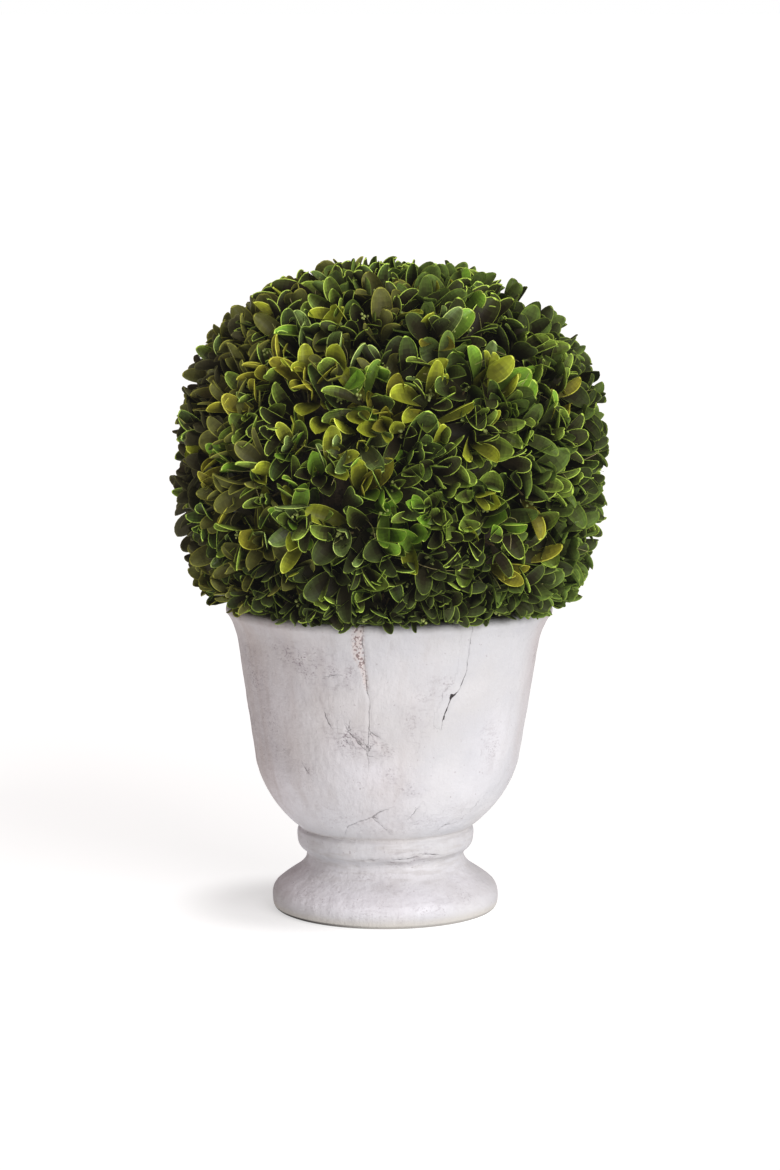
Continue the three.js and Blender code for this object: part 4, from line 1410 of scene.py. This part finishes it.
# %% Sprays and patches that have a place of their own
# Sprays: degrees round from the front, degrees up from the ball's middle, leaves and tint.
NOTABLE = [
    (-73, 52, 3, "yellow_green"), (-29, 53, 3, "yellow_green"), (-40, 58, 3, "mid_green"),
    (-39, 37, 4, "golden_olive"), (-31, 36, 4, "yellow_green"), (-23, 39, 4, "yellow_green"),
    (-37, 45, 3, "shining_green"), (-12, 40, 3, "shining_green"), (-9, 29, 3, "fresh_green"),
    (-4, 31, 4, "fresh_green"), (-14, 18, 3, "yellow_green"), (-6, 12, 5, "yellow_green"),
    (-27, 12, 3, "shining_green"), (-18, 13, 3, "shining_green"), (-60, 4, 3, "golden_olive"),
    (-31, 6, 2, "fresh_green"), (-36, 4, 2, "yellow_green"), (-27, -4, 2, "shining_green"),
    (-29, -18, 3, "yellow_green"), (-20, -28, 3, "mid_green"), (-6, -30, 3, "mid_green"),
    (-1, -12, 5, "fresh_green"), (-9, -12, 3, "shining_green"), (38, 68, 2, "yellow_green"),
    (22, 49, 3, "shining_green"), (12, 49, 2, "yellow_green"), (14, 38, 3, "golden_olive"),
    (14, 32, 3, "yellow_green"), (38, 34, 6, "yellow_green"), (50, 29, 7, "fresh_green"),
    (3, 22, 4, "yellow_green"), (61, 23, 5, "golden_olive"), (39, 52, 3, "fresh_green"),
    (35, 14, 4, "mid_green"), (25, -3, 3, "yellow_green"), (48, -13, 3, "golden_olive"),
    (56, 2, 4, "mid_green"), (32, -9, 3, "fresh_green"), (37, -22, 4, "golden_olive"),
    (12, -2, 6, "mid_green"), (3, 4, 4, "mid_green"), (-25, 23, 3, "golden_olive"),
    (-44, 29, 4, "golden_olive"), (-56, 21, 3, "golden_olive"), (-2, -24, 4, "mid_green"),
    (22, -25, 3, "mid_green"), (41, 15, 5, "mid_green"), (50, -3, 4, "mid_green"),
    (13, 17, 2, "mid_green"), (-34, -11, 2, "shining_green"), (-23, -8, 4, "mid_green"),
    (-46, 31, 3, "golden_olive"), (-43, -4, 3, "mid_green"), (37, 23, 4, "mid_green"),
    (50, 16, 3, "mid_green"), (3, -3, 3, "fresh_green"), (-4, -6, 3, "fresh_green"),
    (8, -7, 3, "fresh_green"), (-11, 16, 3, "yellow_green"), (-22, 17, 3, "yellow_green"),
    (-30, 21, 3, "yellow_green"), (54, 34, 4, "mid_green"),
]
# Wider patches where many leaves share a tint: turn, up, reach in mm, share of the leaves, and tint.
# Patches in the shaded and deeper-shade tints are painted shade.
TINT_PATCHES = [
    (74, 47, 28, 0.6, "deep_shade_green"),
    (44, 56, 28, 0.6, "dark_olive"),
    (59, 30, 28, 0.6, "mid_green"),
    (23, 14, 20, 0.5, "dark_olive"),
    (50, -6, 28, 0.65, "shaded_green"),
    (22, -3, 22, 0.5, "mid_green"),
    (-12, -21, 38, 0.45, "deep_shade_green"),
    (51, -23, 20, 0.4, "deep_shade_green"),
    (-58, 30, 24, 0.25, "golden_olive"),
    (-49, -5, 24, 0.2, "golden_olive"),
    (-24, 15, 22, 0.3, "fresh_green"),
    (-12, 13, 26, 0.22, "yellow_green"),
    (2, -1, 24, 0.2, "fresh_green"),
    (0, 32, 20, 0.2, "mid_green"),
]
print(len(NOTABLE), "sprays and", len(TINT_PATCHES), "patches")

# %% [markdown]
# The rest follows a rule. In the photograph the left side runs to olive and yellow and the right side to
# fresh green, while the shoots at the rim, the top, the bottom and the far right are darker: at the rim
# and the bottom that is painted shade under the ball. Shoots that would be dark anyway turn to a tint of
# painted shade towards the sides and the top, and to a deeper one low down and, less often, on top. A
# few single leaves stray from their shoot's tint.

# %% Deal a tint to every shoot
tint_names = list(TINTS)
# Painted shade: the rim row and the bottom lean to darker tints, lying under the ball; the top and the far
# right lean darker too.
RIM_ROW_DARKENING, UPPER_DARKENING, LOWER_DARKENING, RIGHT_DARKENING = 0.7, 0.36, 0.24, 0.28
PATCH_LEANING, PATCH_WIDTH = 0.16, 55
OUTER_SHADING, UPPER_SHADING, LOW_SHADING, TOP_DIMMING = 0.85, 0.6, 0.95, 0.4
STRAY_SHARE, STRAY_TINTS = 0.22, 6
# The limits between the first seven tints, from dark to golden. Where a shoot's number passes one more
# limit, it has the next tint.
WARM_LIMITS = np.array([0.36, 0.60, 0.78, 0.82, 0.84, 0.94])
COOL_LIMITS = np.array([0.28, 0.60, 0.84, 0.89, 0.94, 0.98])

to_right, _, upwards = shoot_directions.T
leaning = plant_random.uniform(0, 1, SHOOTS) + PATCH_LEANING * smooth_noise(shoot_ends, PATCH_WIDTH, 41)
leaning -= RIM_ROW_DARKENING * np.isin(kinds, list(RING_SLOPES))
leaning -= UPPER_DARKENING * smooth_step(upwards, 0.4, 0.8)
leaning -= LOWER_DARKENING * smooth_step(-upwards, 0.2, 0.5)
leaning -= RIGHT_DARKENING * smooth_step(to_right, 0.4, 0.8)
warmth = smooth_step(-to_right, -0.5, 0.6)
limits = WARM_LIMITS * warmth[:, None] + COOL_LIMITS * (1 - warmth[:, None])
shoot_tint = (leaning[:, None] > limits).sum(axis=1)

# Painted shade: dark shoots towards the sides and top take a shaded tint, and low down and on top a deeper
# one.
outer = smooth_step(np.abs(to_right), 0.4, 0.75) + UPPER_SHADING * smooth_step(upwards, 0.4, 0.75)
low = smooth_step(-upwards, 0.2, 0.4) + TOP_DIMMING * smooth_step(upwards, 0.45, 0.8)
chance = plant_random.uniform(0, 1, SHOOTS)
warm = plant_random.uniform(0, 1, SHOOTS) < warmth
shaded = np.where(warm, tint_names.index("shaded_olive"), tint_names.index("shaded_green"))
shoot_tint = np.where((shoot_tint < 2) & (chance < OUTER_SHADING * outer), shaded, shoot_tint)
shoot_tint[(shoot_tint < 3) & (chance < LOW_SHADING * low)] = tint_names.index("deep_shade_green")
stray_chance = STRAY_SHARE * (1 - np.maximum(outer, low).clip(0, 1))
stray = plant_random.uniform(0, 1, count) < stray_chance[shoot_index]
leaf_tint = np.where(stray, plant_random.integers(0, STRAY_TINTS, count), shoot_tint[shoot_index])
print(int(stray.sum()), "leaves stray from their shoot's tint")

# %% [markdown]
# Leaves at the ball's edge are seen flat against the bright ground, which makes them look dark. So most
# of those get a darker tint, painted shade. The patches and then the sprays come last, so they always show.

# %% Deal tints to leaves by their place
EDGE_SHARE, EDGE_UPPER_SHARE, EDGE_FROM, EDGE_FULL = 0.7, 0.75, 0.82, 0.93
SEEN_AT, SPRAY_DEPTH = 0.8, 4.0

# A leaf's place is on its midrib, four fifths of the way to its tip, because that part shows.
leaf_places = grids[:, LEAF_ROWS.searchsorted(SEEN_AT), LEAF_COLUMNS // 2]
leaf_directions = unit(leaf_places - BALL_CENTRE)
to_edge = np.hypot(leaf_directions[:, 0], EDGE_UPPER_SHARE * leaf_directions[:, 2].clip(0, 1))
left_edge_shade, right_edge_shade = tint_names.index("deep_shade_olive"), tint_names.index("deep_shade_green")
edge_shade = np.where(leaf_directions[:, 0] < 0, left_edge_shade, right_edge_shade)
at_edge = plant_random.uniform(0, 1, count) < EDGE_SHARE * smooth_step(to_edge, EDGE_FROM, EDGE_FULL)
leaf_tint = np.where(at_edge, edge_shade, leaf_tint)


def apart_from(turn, up):
    """How far each leaf is from a place on the ball, which is given in degrees."""
    turn, up = math.radians(turn), math.radians(up)
    aim = np.array([math.sin(turn) * math.cos(up), -math.cos(turn) * math.cos(up), math.sin(up)])
    return np.linalg.norm(leaf_places - in_ball(aim, SPRAY_DEPTH), axis=1)


for turn, up, reach, share, name in TINT_PATCHES:
    chance = share * (1 - smooth_step(apart_from(turn, up), 0.6 * reach, 1.2 * reach))
    leaf_tint[plant_random.uniform(0, 1, count) < chance] = tint_names.index(name)
for half_turn in (0, 180):
    for turn, up, leaves, name in NOTABLE:
        closest = np.argsort(np.where(kept, apart_from(turn + half_turn, up), np.inf))
        leaf_tint[closest[:leaves]] = tint_names.index(name)
leaves_of_tint = np.bincount(leaf_tint[kept], minlength=len(TINTS))
print("leaves of each tint:", dict(zip(tint_names, leaves_of_tint.tolist())))


# %% One piece of leaves for each tint
def tint_materials(name, tip, rim, darkens, roughness, shine):
    """The blade's painted shades from its tip to its foot, and the rim's two colours: highlight and shade.
    """
    shades = {}
    for step in range(SHADES):
        darkness = darkens * DEEPEST_SHADE * step / (SHADES - 1)
        shades[f"waxy_leaf_{name}_{step + 1}"] = mixed(tip, CUP_SHADE, darkness)
    shades["leaf_rim_" + name] = rim
    shades["leaf_rim_below_" + name] = mixed(rim, CUP_SHADE, darkens * RIM_BELOW_SHADE)
    return [leaf_material(label, shade, roughness, shine) for label, shade in shades.items()]


for number, (name, look) in enumerate(TINTS.items()):
    chosen = np.flatnonzero(kept & (leaf_tint == number))
    quads, parts = leaf_faces(len(chosen))
    points = grids[chosen].reshape(-1, 3)
    plant_piece("leaves_" + name, points, quads, tint_materials(name, *look), "box_leaves", parts)

# %% [markdown]
# ## Buds and threads
#
# In the middle of many cups sits a bud or a small bunch of them, pale green and a millimetre or two
# across. Here and there a straw-coloured thread of dead bark or an old leaf stalk lies between the
# leaves. They are tiny, but in a picture full of dark cups they tell the eye how deep each cup is.

# %% Buds in the cups
BUNCH_SHARE, BUNCH, BUD_RADIUS, BUD_SCATTER = 0.4, 5, 0.95, 1.1
BUDS_ABOVE, BUD_SIZES = (1.5, 4.5), (0.6, 1.15)
BEAD_ROWS, BEAD_SIDES = 5, 6


def beads(centres, radius):
    """Small round beads, one at each centre."""
    polar = np.linspace(0.1, math.pi - 0.1, BEAD_ROWS)[:, None]
    turn = full_turn(BEAD_SIDES)[None]
    ones = np.ones_like(turn)
    ball = np.stack([np.sin(polar) * np.cos(turn), np.sin(polar) * np.sin(turn), np.cos(polar) * ones], -1)
    points = centres[:, None, None] + radius[:, None, None, None] * ball[None]
    quads = repeated(ring_quads(BEAD_ROWS, BEAD_SIDES)[:, ::-1], len(centres), BEAD_ROWS * BEAD_SIDES)
    return points.reshape(-1, 3), quads


in_flower = np.flatnonzero(plant_random.uniform(0, 1, SHOOTS) < BUNCH_SHARE)
bunch = np.repeat(in_flower, BUNCH)
scatter = plant_random.normal(0, BUD_SCATTER, (len(bunch), 3))
above = plant_random.uniform(*BUDS_ABOVE, len(bunch))
bud_centres = shoot_ends[bunch] + shoot_along[bunch] * above[:, None] + scatter
bud_sizes = BUD_RADIUS * plant_random.uniform(*BUD_SIZES, len(bunch))
# A bud's scales are as leathery as the leaves, but young, so they look pale and rather dull.
pale_bud = leaf_material("pale_bud", "#a5b264", 0.5, 0.2)
plant_piece("buds", *beads(bud_centres, bud_sizes), [pale_bud], "box_leaves")

# %% Straw threads
THREADS, THREAD_JITTER, THREAD_TILT = 170, 0.1, 0.09
START_DEPTHS, END_DEPTHS = (14, 24), (0.5, 9)
THREAD_TUBE = (0.22, 0.12, 1.8)

thread_directions = jittered(even_directions(THREADS, LOWEST), THREAD_JITTER)
thread_starts = in_ball(thread_directions, plant_random.uniform(*START_DEPTHS, THREADS))
thread_ends = in_ball(jittered(thread_directions, THREAD_TILT), plant_random.uniform(*END_DEPTHS, THREADS))
# Dead bark peels off in thin ribbons, which the sun bleaches to straw.
straw = finish(
    "dry_straw_bark",
    "#8a8a4a",
    {"bleached": (5, 0.45, 0.6, 2.0, EVEN)},
    [("#b9ad78", 0.8, ["bleached"])],
    [("bleached", 0.1)],
    Roughness=0.7,
)
plant_piece("straw_threads", *tubes(thread_starts, thread_ends, *THREAD_TUBE), [straw], "box_leaves")

# %% [markdown]
#
# The dressed plant may not outgrow the measured one. Both boxes are printed, so that they can be
# compared.

# %% Print both boxes
low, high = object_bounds()
print("frame box:", [round(v / MM, 1) for v in (*cad_low, *cad_high)])
print("dressed box:", [round(v / MM, 1) for v in (*low, *high)])
